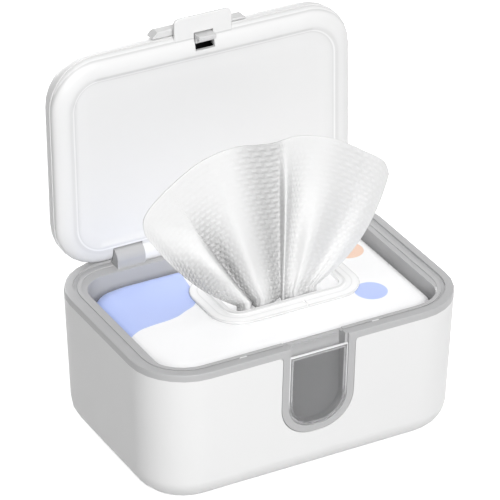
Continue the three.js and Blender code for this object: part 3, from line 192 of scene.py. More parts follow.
# The fold lines: the place as a share of the half width, how far it stands back as a share of
# the deepest fold, and the share of the height where it has died away
FOLD_SHARES = [
    (-1, 0.1, 1), (-0.88, -0.4, 1), (-0.68, -1, 0.7), (-0.64, 0.7, 0.68), (-0.5, 0.05, 0.8),
    (-0.34, -0.5, 1.1), (-0.12, 0.1, 1.25), (0.1, 0.75, 1.1), (0.15, -0.6, 1.0), (0.2, 0.1, 0.95),
    (0.28, 0.05, 1), (0.46, -0.5, 1), (0.72, 0.15, 1), (0.88, -0.15, 1), (1, 0, 1),
]
# Where the cloth hangs loose, and where painted shade darkens the fold valleys: its left and right
# limit as shares of the half width, each with the share over which it comes on, how loose and
# shaded it is, and the share of the height where it ends
SLACK_SHARES = [
    (-1.1, 0.02, -0.82, 0.14, 0.8, 0.75), (-0.655, 0.012, -0.5, 0.13, 1.0, 0.8),
    (-0.16, 0.12, 0.11, 0.05, 0.75, 1.3), (0.155, 0.015, 0.28, 0.07, 0.5, 0.9),
    (0.5, 0.1, 0.95, 0.1, 0.22, 1.3),
]
# How softly it ends below and above that share, how loose and shaded the neck is and up to where,
# the share of its colour that painted shade leaves, how much of that shade a pillow's top loses so
# that shade is painted between pillows, and a fibre's height in pillows
SLACK_BELOW, SLACK_ABOVE = 0.3, 0.1
NECK_SLACK, NECK_SLACK_UP_TO = 0.2, 0.2
SLACK_SHADE, PILLOW_LIGHT, FIBRE_HEIGHT = 0.68, 0.35, 0.12

# The photograph's frame and the sensor that the lens is given for
IMAGE_SIDE = 500.0
SENSOR = 36.0

# The lamps, all aimed at one point: the setting that holds the power, its share, width and place
LAMPS = {
    "Key light": ("key_power", 1, 1.8, (-0.7, -2.5, 1.6)),
    "Top light": ("top_power", 1, 2.0, (0.2, -0.2, 2.6)),
    "Back light": ("back_power", 1, 1.6, (0.25, 2.5, 0.6)),
    "Right light": ("back_power", 1 / 3, 1.6, (2.5, 0.2, 0.5)),
}
AIM = Vector((0, 0, 0.08))

# The floor: its half width, how far it lies below the feet, its colours as the camera and as the
# object see it, and how much it glows for the camera
FLOOR_HALF, FLOOR_GAP = 3.0, 0.0002
FLOOR_COLOR, FLOOR_DIM = (0.9, 0.9, 0.9, 1), (0.35, 0.35, 0.35, 1)
FLOOR_GLOW = 0.72
WHITE = (1, 1, 1, 1)


def color_setting(name, description, default):
    return bpy.props.FloatVectorProperty(
        name=name, description=description, subtype="COLOR", size=3, min=0, max=1, default=default)


def length_setting(name, description, default, least, most):
    return bpy.props.FloatProperty(
        name=name, description=description, subtype="DISTANCE", unit="LENGTH", min=least, max=most,
        default=default)


def angle_setting(name, description, degrees):
    return bpy.props.FloatProperty(
        name=name, description=description, subtype="ANGLE", unit="ROTATION",
        default=math.radians(degrees))


def power_setting(name, description, default):
    return bpy.props.FloatProperty(
        name=name, description=description, subtype="POWER", unit="POWER", min=0, max=1000,
        default=default)


class CasingFinish(bpy.types.PropertyGroup):
    """Colours and edges of the moulded pieces"""

    shell_color: color_setting("Shell", "Colour of the white casing and lid", (0.75, 0.75, 0.75))
    latch_color: color_setting("Latch", "Colour of the latch's rocker", (0.6, 0.6, 0.6))
    liner_color: color_setting("Liner", "Colour of the grey liner and window frame", (0.425, 0.425, 0.43))
    pane_color: color_setting("Pane", "Tint of the window pane", (0.52, 0.52, 0.525))
    edge_round: length_setting("Edge rounding", "Radius left on a moulded edge", 0.00045, 0, 0.002)


class PackSizes(bpy.types.PropertyGroup):
    """The refill pack's film and print"""

    film_color: color_setting("Film", "Colour of the pack's plain film", (0.96, 0.96, 0.965))
    print_color: color_setting("Print", "Colour of the pack's pale blue areas", (0.49, 0.59, 0.965))
    accent_color: color_setting("Accent", "Colour of the pack's pale orange spot", (0.88, 0.62, 0.48))
    corner: length_setting("Corner", "Radius of the pack's corners, seen from above", 0.015, 0.001, 0.05)
    shoulder: length_setting(
        "Shoulder height", "How far the film rounds off below the stack's top", 0.006, 0, 0.02)
    shoulder_width: length_setting("Shoulder width", "How far in the rounding starts", 0.008, 0.001, 0.03)
    crown: length_setting("Crown", "How far the top sags towards its edges", 0.0012, 0, 0.005)
    wrinkle: length_setting("Wrinkle", "Height of the film's slack wrinkles", 0.0005, 0, 0.002)


class WipeSizes(bpy.types.PropertyGroup):
    """The drawn wipe"""

    cloth_color: color_setting("Cloth", "Colour of the wipe", (0.73, 0.73, 0.73))
    thickness: length_setting("Thickness", "Thickness of the folded cloth", 0.0007, 0.0002, 0.002)
    pillow_width: length_setting(
        "Pillow width", "Width of one embossed pillow of the cloth", 0.0046, 0.001, 0.01)
    columns: bpy.props.IntProperty(
        name="Columns", description="Faces across the wipe", min=20, max=400, default=220)
    rows: bpy.props.IntProperty(
        name="Rows", description="Faces up the wipe", min=10, max=200, default=110)


class StageSettings(bpy.types.PropertyGroup):
    """Camera and light"""

    camera_place: bpy.props.FloatVectorProperty(
        name="Camera", description="Where the camera stands", subtype="XYZ", unit="LENGTH", size=3,
        default=(-0.96320, -1.745583, 1.25893))
    azimuth: angle_setting("Azimuth", "The camera's heading, to the right of +Y", 28.83)
    elevation: angle_setting("Elevation", "How far down the camera looks", 29.79)
    roll: angle_setting("Roll", "The camera's turn about its own axis", 0.383)
    focal_pixels: bpy.props.FloatProperty(
        name="Focal length", description="In pixels of the photograph's frame", min=100, max=10000,
        default=3746.17)
    key_power: power_setting("Key light", "Power of the soft light at the front", 96)
    back_power: power_setting(
        "Back light", "Power of the light behind; the one on the right has a third", 48)
    top_power: power_setting("Top light", "Power of the soft light overhead", 13)
    sky: bpy.props.FloatProperty(
        name="Sky", description="Strength of the even light all round", min=0, max=2, default=0.17)


class WarmerSettings(bpy.types.PropertyGroup):
    """Everything that a user would change"""

    casing: bpy.props.PointerProperty(type=CasingFinish)
    pack: bpy.props.PointerProperty(type=PackSizes)
    wipe: bpy.props.PointerProperty(type=WipeSizes)
    stage: bpy.props.PointerProperty(type=StageSettings)


def settings():
    return bpy.context.scene.wipe_warmer


# Nodes and node groups


def new_group(name, inputs, outputs):
    """An empty shader node group with its input and output nodes"""
    tree = bpy.data.node_groups.new(name, "ShaderNodeTree")
    for label, kind, default in inputs:
        socket = tree.interface.new_socket(name=label, in_out="INPUT", socket_type=kind)
        if default is not None:
            socket.default_value = default
    for label, kind in outputs:
        tree.interface.new_socket(name=label, in_out="OUTPUT", socket_type=kind)
    return tree, tree.nodes.new("NodeGroupInput"), tree.nodes.new("NodeGroupOutput")


def fill(tree, node, values):
    """Gives a node's inputs plain values or other nodes' outputs, by name or number"""
    for label, value in values.items():
        if isinstance(value, bpy.types.NodeSocket):
            tree.links.new(value, node.inputs[label])
        else:
            node.inputs[label].default_value = value


def calc(tree, operation, first, second=None, third=None):
    """A Math node fed by sockets or plain numbers"""
    node = tree.nodes.new("ShaderNodeMath")
    node.operation = operation
    given = (value for value in (first, second, third) if value is not None)
    fill(tree, node, dict(enumerate(given)))
    return node.outputs[0]


def clamped(tree, value, low=0.0, high=1.0):
    """A value held between two limits"""
    return calc(tree, "MAXIMUM", calc(tree, "MINIMUM", value, high), low)


def ranged(tree, share, low, high):
    """A value that runs from one limit to the other as a share runs from 0 to 1"""
    return calc(tree, "MULTIPLY_ADD", share, high - low, low)


def length_of(tree, first, second):
    """The length of a step that goes so far along two axes"""
    squares = [calc(tree, "MULTIPLY", value, value) for value in (first, second)]
    return calc(tree, "SQRT", calc(tree, "ADD", *squares))


def curve_of(tree, value, points):
    """A value put through a Float Curve, whose points run from 0 to 1"""
    node = tree.nodes.new("ShaderNodeFloatCurve")
    line = node.mapping.curves[0]
    line.points[0].location = points[0]
    line.points[-1].location = points[-1]
    for x, y in points[1:-1]:
        line.points.new(x, y)
    node.mapping.update()
    fill(tree, node, {"Value": value})
    return node.outputs["Value"]


def scaled_color(tree, color, factor):
    """A colour made lighter or darker by a factor"""
    node = tree.nodes.new("ShaderNodeVectorMath")
    node.operation = "SCALE"
    fill(tree, node, {0: color, "Scale": factor})
    return node.outputs[0]


def mixed_color(tree, factor, first, second):
    """One colour where the factor is 0, another where it is 1"""
    node = tree.nodes.new("ShaderNodeMix")
    node.data_type = "RGBA"
    # Its inputs 6 and 7 and its output 2 are the ones for colours
    fill(tree, node, {0: factor, 6: first, 7: second})
    return node.outputs[2]


def mixed_shader(tree, factor, first, second):
    """One shader where the factor is 0, another where it is 1"""
    node = tree.nodes.new("ShaderNodeMixShader")
    fill(tree, node, {0: factor, 1: first, 2: second})
    return node.outputs[0]


def object_axes(tree):
    """Object coordinates, as a vector and as x, y and z"""
    place = tree.nodes.new("ShaderNodeTexCoord").outputs["Object"]
    split = tree.nodes.new("ShaderNodeSeparateXYZ")
    fill(tree, split, {0: place})
    return place, *split.outputs


def mapped_noise(tree, vector, scale, detail, roughness=0.5):
    """A Noise Texture on a vector"""
    node = tree.nodes.new("ShaderNodeTexNoise")
    fill(tree, node, {"Vector": vector, "Scale": scale, "Detail": detail, "Roughness": roughness})
    return node.outputs["Fac"]


def moulded_group():
    """Spark-eroded mould grain, slow ripples and the faint marks of handling"""
    name = "Moulded surface"
    if name in bpy.data.node_groups:
        return bpy.data.node_groups[name]
    tree, into, out = new_group(
        name,
        [("Color", "NodeSocketColor", (0.8, 0.8, 0.8, 1)), ("Roughness", "NodeSocketFloat", 0.35),
         ("Grain Scale", "NodeSocketFloat", 2600.0), ("Marks", "NodeSocketFloat", 0.06)],
        [("Color", "NodeSocketColor"), ("Roughness", "NodeSocketFloat"), ("Height", "NodeSocketFloat")])
    ripple_tone, ripple_height, marks_strength = 0.02, 3.0, 2.0
    place = tree.nodes.new("ShaderNodeTexCoord").outputs["Object"]
    grain = mapped_noise(tree, place, into.outputs["Grain Scale"], detail=3.0, roughness=0.6)
    ripple = mapped_noise(tree, place, scale=9.0, detail=1.0)
    marks = mapped_noise(tree, place, scale=70.0, detail=4.0, roughness=0.65)
    marks = calc(tree, "MULTIPLY", calc(tree, "SUBTRACT", marks, 0.5), into.outputs["Marks"])
    rough = calc(tree, "ADD", into.outputs["Roughness"], calc(tree, "MULTIPLY", marks, marks_strength))
    tone = calc(tree, "MULTIPLY", calc(tree, "SUBTRACT", ripple, 0.5), ripple_tone)
    tint = scaled_color(tree, into.outputs["Color"], calc(tree, "ADD", tone, 1.0))
    height = calc(tree, "ADD", grain, calc(tree, "MULTIPLY", ripple, ripple_height))
    fill(tree, out, {"Color": tint, "Roughness": rough, "Height": height})
    return tree


def pillows_group():
    """Embossed pillows laid like bricks over a UV map in metres, worn down where the cloth is tight"""
    name = "Embossed pillows"
    if name in bpy.data.node_groups:
        return bpy.data.node_groups[name]
    tree, into, out = new_group(
        name,
        [("Vector", "NodeSocketVector", None), ("Width", "NodeSocketFloat", 0.003),
         ("Relief", "NodeSocketFloat", 1.0)],
        [("Height", "NodeSocketFloat")])
    bricks = tree.nodes.new("ShaderNodeTexBrick")
    bricks.offset = 0.5
    width, row_share, gap_share = into.outputs["Width"], 0.8, 0.4
    fill(tree, bricks, {
        "Vector": into.outputs["Vector"], "Scale": 1.0, "Brick Width": width, "Mortar Smooth": 1.0,
        "Row Height": calc(tree, "MULTIPLY", width, row_share),
        "Mortar Size": calc(tree, "MULTIPLY", width, gap_share),
    })
    pillow = calc(tree, "SUBTRACT", 1.0, bricks.outputs["Fac"])
    fill(tree, out, {"Height": calc(tree, "MULTIPLY", pillow, into.outputs["Relief"])})
    return tree


# Materials


def parts_of(material):
    """A material with its tree and its Principled BSDF"""
    return material, material.node_tree, material.node_tree.nodes["Principled BSDF"]


def shader_of(name):
    """A new material with its tree and its Principled BSDF"""
    material = bpy.data.materials.new(name)
    material.use_nodes = True
    return parts_of(material)


def bump_into(tree, shader, height, strength, distance):
    """A Bump node between a height and a shader's normal"""
    bump = tree.nodes.new("ShaderNodeBump")
    fill(tree, bump, {"Height": height, "Strength": strength, "Distance": distance})
    fill(tree, shader, {"Normal": bump.outputs["Normal"]})


def surface_into(tree, output, surface):
    """Ends a material or world with a shader of its own"""
    fill(tree, tree.nodes[output], {"Surface": surface})


def finish(key):
    """Moulded plastic, rubber or plain metal: the material of one row of FINISHES, made once"""
    name, color, roughness, grain, grain_height, marks, coat, metallic = FINISHES[key]
    if name in bpy.data.materials:
        return bpy.data.materials[name]
    if isinstance(color, str):
        color = getattr(settings().casing, color)
    material, tree, shader = shader_of(name)
    node = tree.nodes.new("ShaderNodeGroup")
    node.node_tree = moulded_group()
    fill(tree, node, {
        "Color": (*color, 1), "Roughness": roughness, "Grain Scale": grain, "Marks": marks,
    })
    fill(tree, shader, {
        "Base Color": node.outputs["Color"], "Roughness": node.outputs["Roughness"],
        "Coat Weight": coat, "Coat Roughness": 0.12, "Metallic": metallic, "IOR": 1.5,
    })
    bump_into(tree, shader, node.outputs["Height"], strength=0.5, distance=grain_height)
    return material


def inward_of(tree, across, along, half, corner):
    """How far a place lies inside the outline of a rounded rectangle round the origin"""
    beyond = []
    for reading, reach in ((across, half[0]), (along, half[1])):
        past = calc(tree, "SUBTRACT", calc(tree, "ABSOLUTE", reading), reach - corner)
        beyond.append(calc(tree, "MAXIMUM", past, 0.0))
    return calc(tree, "SUBTRACT", corner, length_of(tree, *beyond))


def shade_by(tree, shader, inward, shades):
    """Paints light and shade into a shader's colour by (millimetres inward, share) points"""
    first, last = shades[0][0], shades[-1][0]
    span = last - first
    share = clamped(tree, calc(tree, "MULTIPLY_ADD", inward, 1 / (span * MM), -first / span))
    shade = curve_of(tree, share, [((place - first) / span, value) for place, value in shades])
    color = shader.inputs["Base Color"].links[0].from_socket
    fill(tree, shader, {"Base Color": scaled_color(tree, color, shade)})


def pane_material():
    """Clear smoked plastic, with pale lines painted along its rim as highlights for the light that its
    edges carry
    """
    material, tree, shader = shader_of("Smoked pane")
    place, x, _, z = object_axes(tree)
    haze = mapped_noise(tree, place, scale=60.0, detail=3.0)
    fill(tree, shader, {
        "Base Color": (*settings().casing.pane_color, 1), "Roughness": ranged(tree, haze, 0.03, 0.08),
        "Transmission Weight": 1.0, "IOR": 1.45, "Metallic": 0.0,
    })
    ripple = mapped_noise(tree, place, scale=25.0, detail=1.0)
    bump_into(tree, shader, ripple, strength=0.3, distance=0.00002)
    # Painted highlight: a pale diffuse band mixed in along the rim, weaker below the foot
    half = (PANE_HIGH.x - PANE_LOW.x) / 2
    below = calc(tree, "MINIMUM", calc(tree, "SUBTRACT", z, PANE_LOW.z + half), 0.0)
    inward = calc(tree, "SUBTRACT", half, length_of(tree, x, below))
    inward = calc(tree, "MINIMUM", inward, calc(tree, "SUBTRACT", PANE_HIGH.z, z))
    rim_highlight = curve_of(tree, clamped(tree, calc(tree, "DIVIDE", inward, PANE_RIM)), PANE_RIM_HIGHLIGHT)
    above_foot = calc(tree, "SUBTRACT", z, PANE_LOW.z + PANE_FOOT * half)
    share = clamped(tree, calc(tree, "DIVIDE", above_foot, PANE_FOOT_FADE), low=PANE_FOOT_HIGHLIGHT)
    rim_highlight_shader = tree.nodes.new("ShaderNodeBsdfDiffuse")
    fill(tree, rim_highlight_shader, {"Color": RIM_HIGHLIGHT_COLOR})
    rim_highlight = calc(tree, "MULTIPLY", rim_highlight, share)
    surface = mixed_shader(tree, rim_highlight, shader.outputs[0], rim_highlight_shader.outputs[0])
    surface_into(tree, "Material Output", surface)
    return material


# Pieces


def shade_smooth(data):
    data.polygons.foreach_set("use_smooth", [True] * len(data.polygons))


def dress(name, material, edge=None):
    """Gives a CAD node its material, or a row of FINISHES: edges are rounded and faces shaded smooth"""
    node = NODES[name]
    node.data.materials.clear()
    node.data.materials.append(finish(material) if isinstance(material, str) else material)
    shade_smooth(node.data)
    weld = node.modifiers.new("Weld", "WELD")
    weld.merge_threshold = WELD
    if edge:
        flat = node.modifiers.new("Flat faces", "DECIMATE")
        flat.decimate_type = "DISSOLVE"
        flat.angle_limit = FLAT
        bevel = node.modifiers.new("Rounded edges", "BEVEL")
        bevel.width = edge
        bevel.segments = 2
        bevel.limit_method = "ANGLE"
        bevel.angle_limit = SHARP
    even = node.modifiers.new("Even normals", "WEIGHTED_NORMAL")
    even.keep_sharp = True
    even.weight = 60


def round_edges(mesh, edges, radius, segments):
    """Bevels edges of a bmesh to a round profile"""
    bmesh.ops.bevel(mesh, geom=edges, offset=radius, offset_type="OFFSET", affect="EDGES",
                    segments=segments, profile=0.5, material=-1)


def object_from(mesh, name, material, body):
    """A finished bmesh becomes a piece that rides on a CAD body"""
    bmesh.ops.recalc_face_normals(mesh, faces=mesh.faces)
    data = bpy.data.meshes.new(name)
    mesh.to_mesh(data)
    mesh.free()
    data.materials.append(material)
    shade_smooth(data)
    piece = bpy.data.objects.new(name, data)
    bpy.context.scene.collection.objects.link(piece)
    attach(piece, body)
    return piece


def apply_modifier(piece, modifier):
    bpy.context.view_layer.objects.active = piece
    bpy.ops.object.modifier_apply(modifier=modifier.name)


def foam_block(node, body):
    """A foam pad in the place of a CAD solid: its cut edges are a little soft"""
    low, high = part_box(node)
    mesh = bmesh.new()
    mesh.from_mesh(NODES[node].data)
    bmesh.ops.remove_doubles(mesh, verts=mesh.verts, dist=WELD)
    bmesh.ops.dissolve_limit(mesh, angle_limit=FLAT, verts=mesh.verts, edges=mesh.edges)
    cut = [edge for edge in mesh.edges if edge.calc_face_angle(0) > CUT]
    round_edges(mesh, cut, min(high - low) * FOAM_SOFTNESS, segments=3)
    piece = object_from(mesh, f"{node}_foam", finish("foam"), body)
    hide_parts(node)


class WARMER_OT_stage(bpy.types.Operator):
    """Makes the camera, the lights and the pale floor"""

    bl_idname = "warmer.stage"
    bl_label = "Stage"

    def execute(self, context):
        stage = settings().stage
        scene = context.scene
        self.camera(scene, stage)
        for name, (power, share, width, place) in LAMPS.items():
            self.lamp(scene, name, getattr(stage, power) * share, width, place)
        self.spare_shadow(bpy.data.objects["Key light"], "drawn_wipe")
        self.sky(scene, stage.sky)
        self.floor(scene)
        scene.view_settings.view_transform = "Standard"
        return {"FINISHED"}

    def camera(self, scene, stage):
        """The camera from its place, its heading, how far down it looks and its roll"""
        camera = bpy.data.objects.new("Camera", bpy.data.cameras.new("Camera"))
        scene.collection.objects.link(camera)
        camera.data.sensor_width = SENSOR
        camera.data.lens = stage.focal_pixels / IMAGE_SIDE * SENSOR
        heading, down, roll = stage.azimuth, stage.elevation, stage.roll
        ahead = Vector((
            math.sin(heading) * math.cos(down), math.cos(heading) * math.cos(down), -math.sin(down)))
        level = Vector((math.cos(heading), -math.sin(heading), 0))
        over = level.cross(ahead)
        right = level * math.cos(roll) + over * math.sin(roll)
        up = over * math.cos(roll) - level * math.sin(roll)
        turn = Matrix((right, up, -ahead)).transposed()
        camera.matrix_world = Matrix.Translation(stage.camera_place) @ turn.to_4x4()
        camera.data.clip_end = 20
        scene.camera = camera

    def lamp(self, scene, name, power, width, place):
        """A round, soft lamp that is aimed at the object"""
        data = bpy.data.lights.new(name, "AREA")
        data.energy = power
        data.size = width
        data.shape = "DISK"
        lamp = bpy.data.objects.new(name, data)
        scene.collection.objects.link(lamp)
        lamp.location = place
        lamp.rotation_mode = "QUATERNION"
        lamp.rotation_quaternion = (AIM - Vector(place)).to_track_quat("-Z", "Y")

    def spare_shadow(self, lamp, name):
        """Keeps one piece from casting this lamp's shadow, as a retouched product picture does"""
        spared = bpy.data.collections.new(f"Passed by {lamp.name}")
        spared.objects.link(bpy.data.objects[name])
        spared.collection_objects[0].light_linking.link_state = "EXCLUDE"
        lamp.light_linking.blocker_collection = spared

    def sky(self, scene, strength):
        """Even light, and plain white where the camera, metal or glass look past the floor"""
        world = bpy.data.worlds.new("Sky")
        scene.world = world
        world.use_nodes = True
        tree = world.node_tree
        plain = tree.nodes["Background"]
        fill(tree, plain, {"Color": WHITE, "Strength": strength})
        white = tree.nodes.new("ShaderNodeBackground")
        fill(tree, white, {"Color": WHITE, "Strength": 1.0})
        surface = mixed_shader(tree, self.seen(tree), plain.outputs[0], white.outputs[0])
        surface_into(tree, "World Output", surface)

    def seen(self, tree):
        """1 for what the camera sees, also by reflection or through the pane, and 0 for the light"""
        path = tree.nodes.new("ShaderNodeLightPath")
        glossy = calc(tree, "MAXIMUM", path.outputs["Is Camera Ray"], path.outputs["Is Glossy Ray"])
        return calc(tree, "MAXIMUM", glossy, path.outputs["Is Transmission Ray"])

    def floor(self, scene):
        """A pale floor that keeps the soft shadow under the object"""
        mesh = bmesh.new()
        bmesh.ops.create_grid(mesh, x_segments=1, y_segments=1, size=FLOOR_HALF)
        bmesh.ops.translate(mesh, vec=(0, 0, FOOT_LOW.z - FLOOR_GAP), verts=mesh.verts)
        data = bpy.data.meshes.new("Floor")
        mesh.to_mesh(data)
        mesh.free()
        floor = bpy.data.objects.new("Floor", data)
        scene.collection.objects.link(floor)
        material, tree, shader = shader_of("Pale floor")
        fill(tree, shader, {"Base Color": FLOOR_COLOR, "Roughness": 0.9, "Specular IOR Level": 0.0})
        glow = tree.nodes.new("ShaderNodeEmission")
        fill(tree, glow, {"Strength": FLOOR_GLOW})
        bright = tree.nodes.new("ShaderNodeAddShader")
        fill(tree, bright, {0: shader.outputs[0], 1: glow.outputs[0]})
        dim = tree.nodes.new("ShaderNodeBsdfDiffuse")
        fill(tree, dim, {"Color": FLOOR_DIM})
        surface = mixed_shader(tree, self.seen(tree), dim.outputs[0], bright.outputs[0])
        surface_into(tree, "Material Output", surface)
        data.materials.append(material)


class WARMER_OT_body(bpy.types.Operator):
    """Finishes the casing, the liner, the gasket and the feet"""

    bl_idname = "warmer.body"
    bl_label = "Body"

    def execute(self, context):
        edge = settings().casing.edge_round
        dress("outer_casing", "shell", edge)
        dress("base_cover", "shell", edge)
        dress("inner_liner", "liner", edge)
        for side in ("left", "right"):
            dress(f"rim_gasket_{side}", "gasket", FINE_EDGE)
            dress(f"rim_bumper_{side}", "bumper", SOFT_EDGE)
            dress(f"hinge_pin_{side}", "steel", FINE_EDGE)
        for index in range(1, 5):
            dress(f"rubber_foot_{index}", "gasket", FINE_EDGE)
            for screw in ("body_screw", "cover_screw"):
                dress(f"{screw}_{index}", "steel", THIN_EDGE)
        return {"FINISHED"}


class WARMER_OT_window(bpy.types.Operator):
    """Finishes the pane in the front window"""

    bl_idname = "warmer.window"
    bl_label = "Window"

    def execute(self, context):
        dress("window_pane", pane_material(), SOFT_EDGE)
        return {"FINISHED"}


class WARMER_OT_lid(bpy.types.Operator):
    """Finishes the lid, its inner panel and its latch"""

    bl_idname = "warmer.lid"
    bl_label = "Lid"

    def execute(self, context):
        edge = settings().casing.edge_round
        dress("lid_shell", self.shell_with_dark_catch(), edge)
        dress("lid_panel", self.panel_with_crest(), edge)
        dress("latch_rocker", "latch", edge)
        dress("latch_pin", "steel", THIN_EDGE)
        dress("latch_spring", "steel")
        foam_block("lid_insulation", "lid")
        return {"FINISHED"}

    def shell_copy(self, name):
        """The shell's plastic once more under a name of its own, with its tree and shader"""
        material = finish("shell").copy()
        material.name = name
        return parts_of(material)

    def panel_with_crest(self):
        """The panel's plastic, with painted shade along its crest and on the seam at its edge, a painted
        highlight on the crest, and a painted darkening over the whole panel
        """
        material, tree, shader = self.shell_copy("White satin panel")
        _, x, y, z = object_axes(tree)
        middle, level = LID_TURN
        turn = math.radians(LID_OPEN)
        along = calc(tree, "MULTIPLY_ADD", calc(tree, "SUBTRACT", y, middle), math.cos(turn), middle)
        along = calc(tree, "MULTIPLY_ADD", calc(tree, "SUBTRACT", z, level), -math.sin(turn), along)
        # Painted shade and a painted highlight, laid along the panel's outline
        shade_by(tree, shader, inward_of(tree, x, along, LID_HALF, LID_CORNER), CREST_PAINTED_SHADES)
        return material

    def shell_with_dark_catch(self):
        """The shell's plastic, with a near-black painted shadow in the hollow that the latch's opening
        shows
        """
        material, tree, shader = self.shell_copy("White satin plastic with a dark hollow")
        _, x, y, z = object_axes(tree)
        inside = []
        for axis, (middle, half) in ((x, HOLLOW_ACROSS), (z, HOLLOW_LEVEL)):
            offset = calc(tree, "ABSOLUTE", calc(tree, "SUBTRACT", axis, middle))
            inside.append(calc(tree, "LESS_THAN", offset, half))
        behind = calc(tree, "GREATER_THAN", y, HOLLOW_FRONT)
        before = calc(tree, "LESS_THAN", y, HOLLOW_BACK)
        hollow = calc(
            tree, "MULTIPLY", calc(tree, "MULTIPLY", *inside), calc(tree, "MULTIPLY", behind, before))
        # Painted shadow: the hollow's white faces are coloured near black where only shade falls
        source = shader.inputs["Base Color"].links[0].from_socket
        fill(tree, shader, {"Base Color": mixed_color(tree, hollow, source, HOLLOW_SHADOW_COLOR)})
        return material


class WARMER_OT_heating(bpy.types.Operator):
    """Finishes the heating plate and what lies under the tub"""

    bl_idname = "warmer.heating"
    bl_label = "Heating"

    def execute(self, context):
        dress("heat_plate", "aluminium", FINE_EDGE)
        dress("heating_film", "amber")
        dress("temperature_sensor", "black", FINE_EDGE)
        dress("thermal_fuse", "steel", SOFT_EDGE)
        dress("control_board", "board", FINE_EDGE)
        dress("heater_lead", "lead")
        foam_block("insulation_pad", "base")
        return {"FINISHED"}


class WARMER_OT_supply(bpy.types.Operator):
    """Finishes the supply socket at the back"""

    bl_idname = "warmer.supply"
    bl_label = "Supply socket"

    def execute(self, context):
        dress("dc_inlet", "black", SOFT_EDGE)
        dress("inlet_lead", "black")
        dress("inlet_nut", "steel", FINE_EDGE)
        return {"FINISHED"}


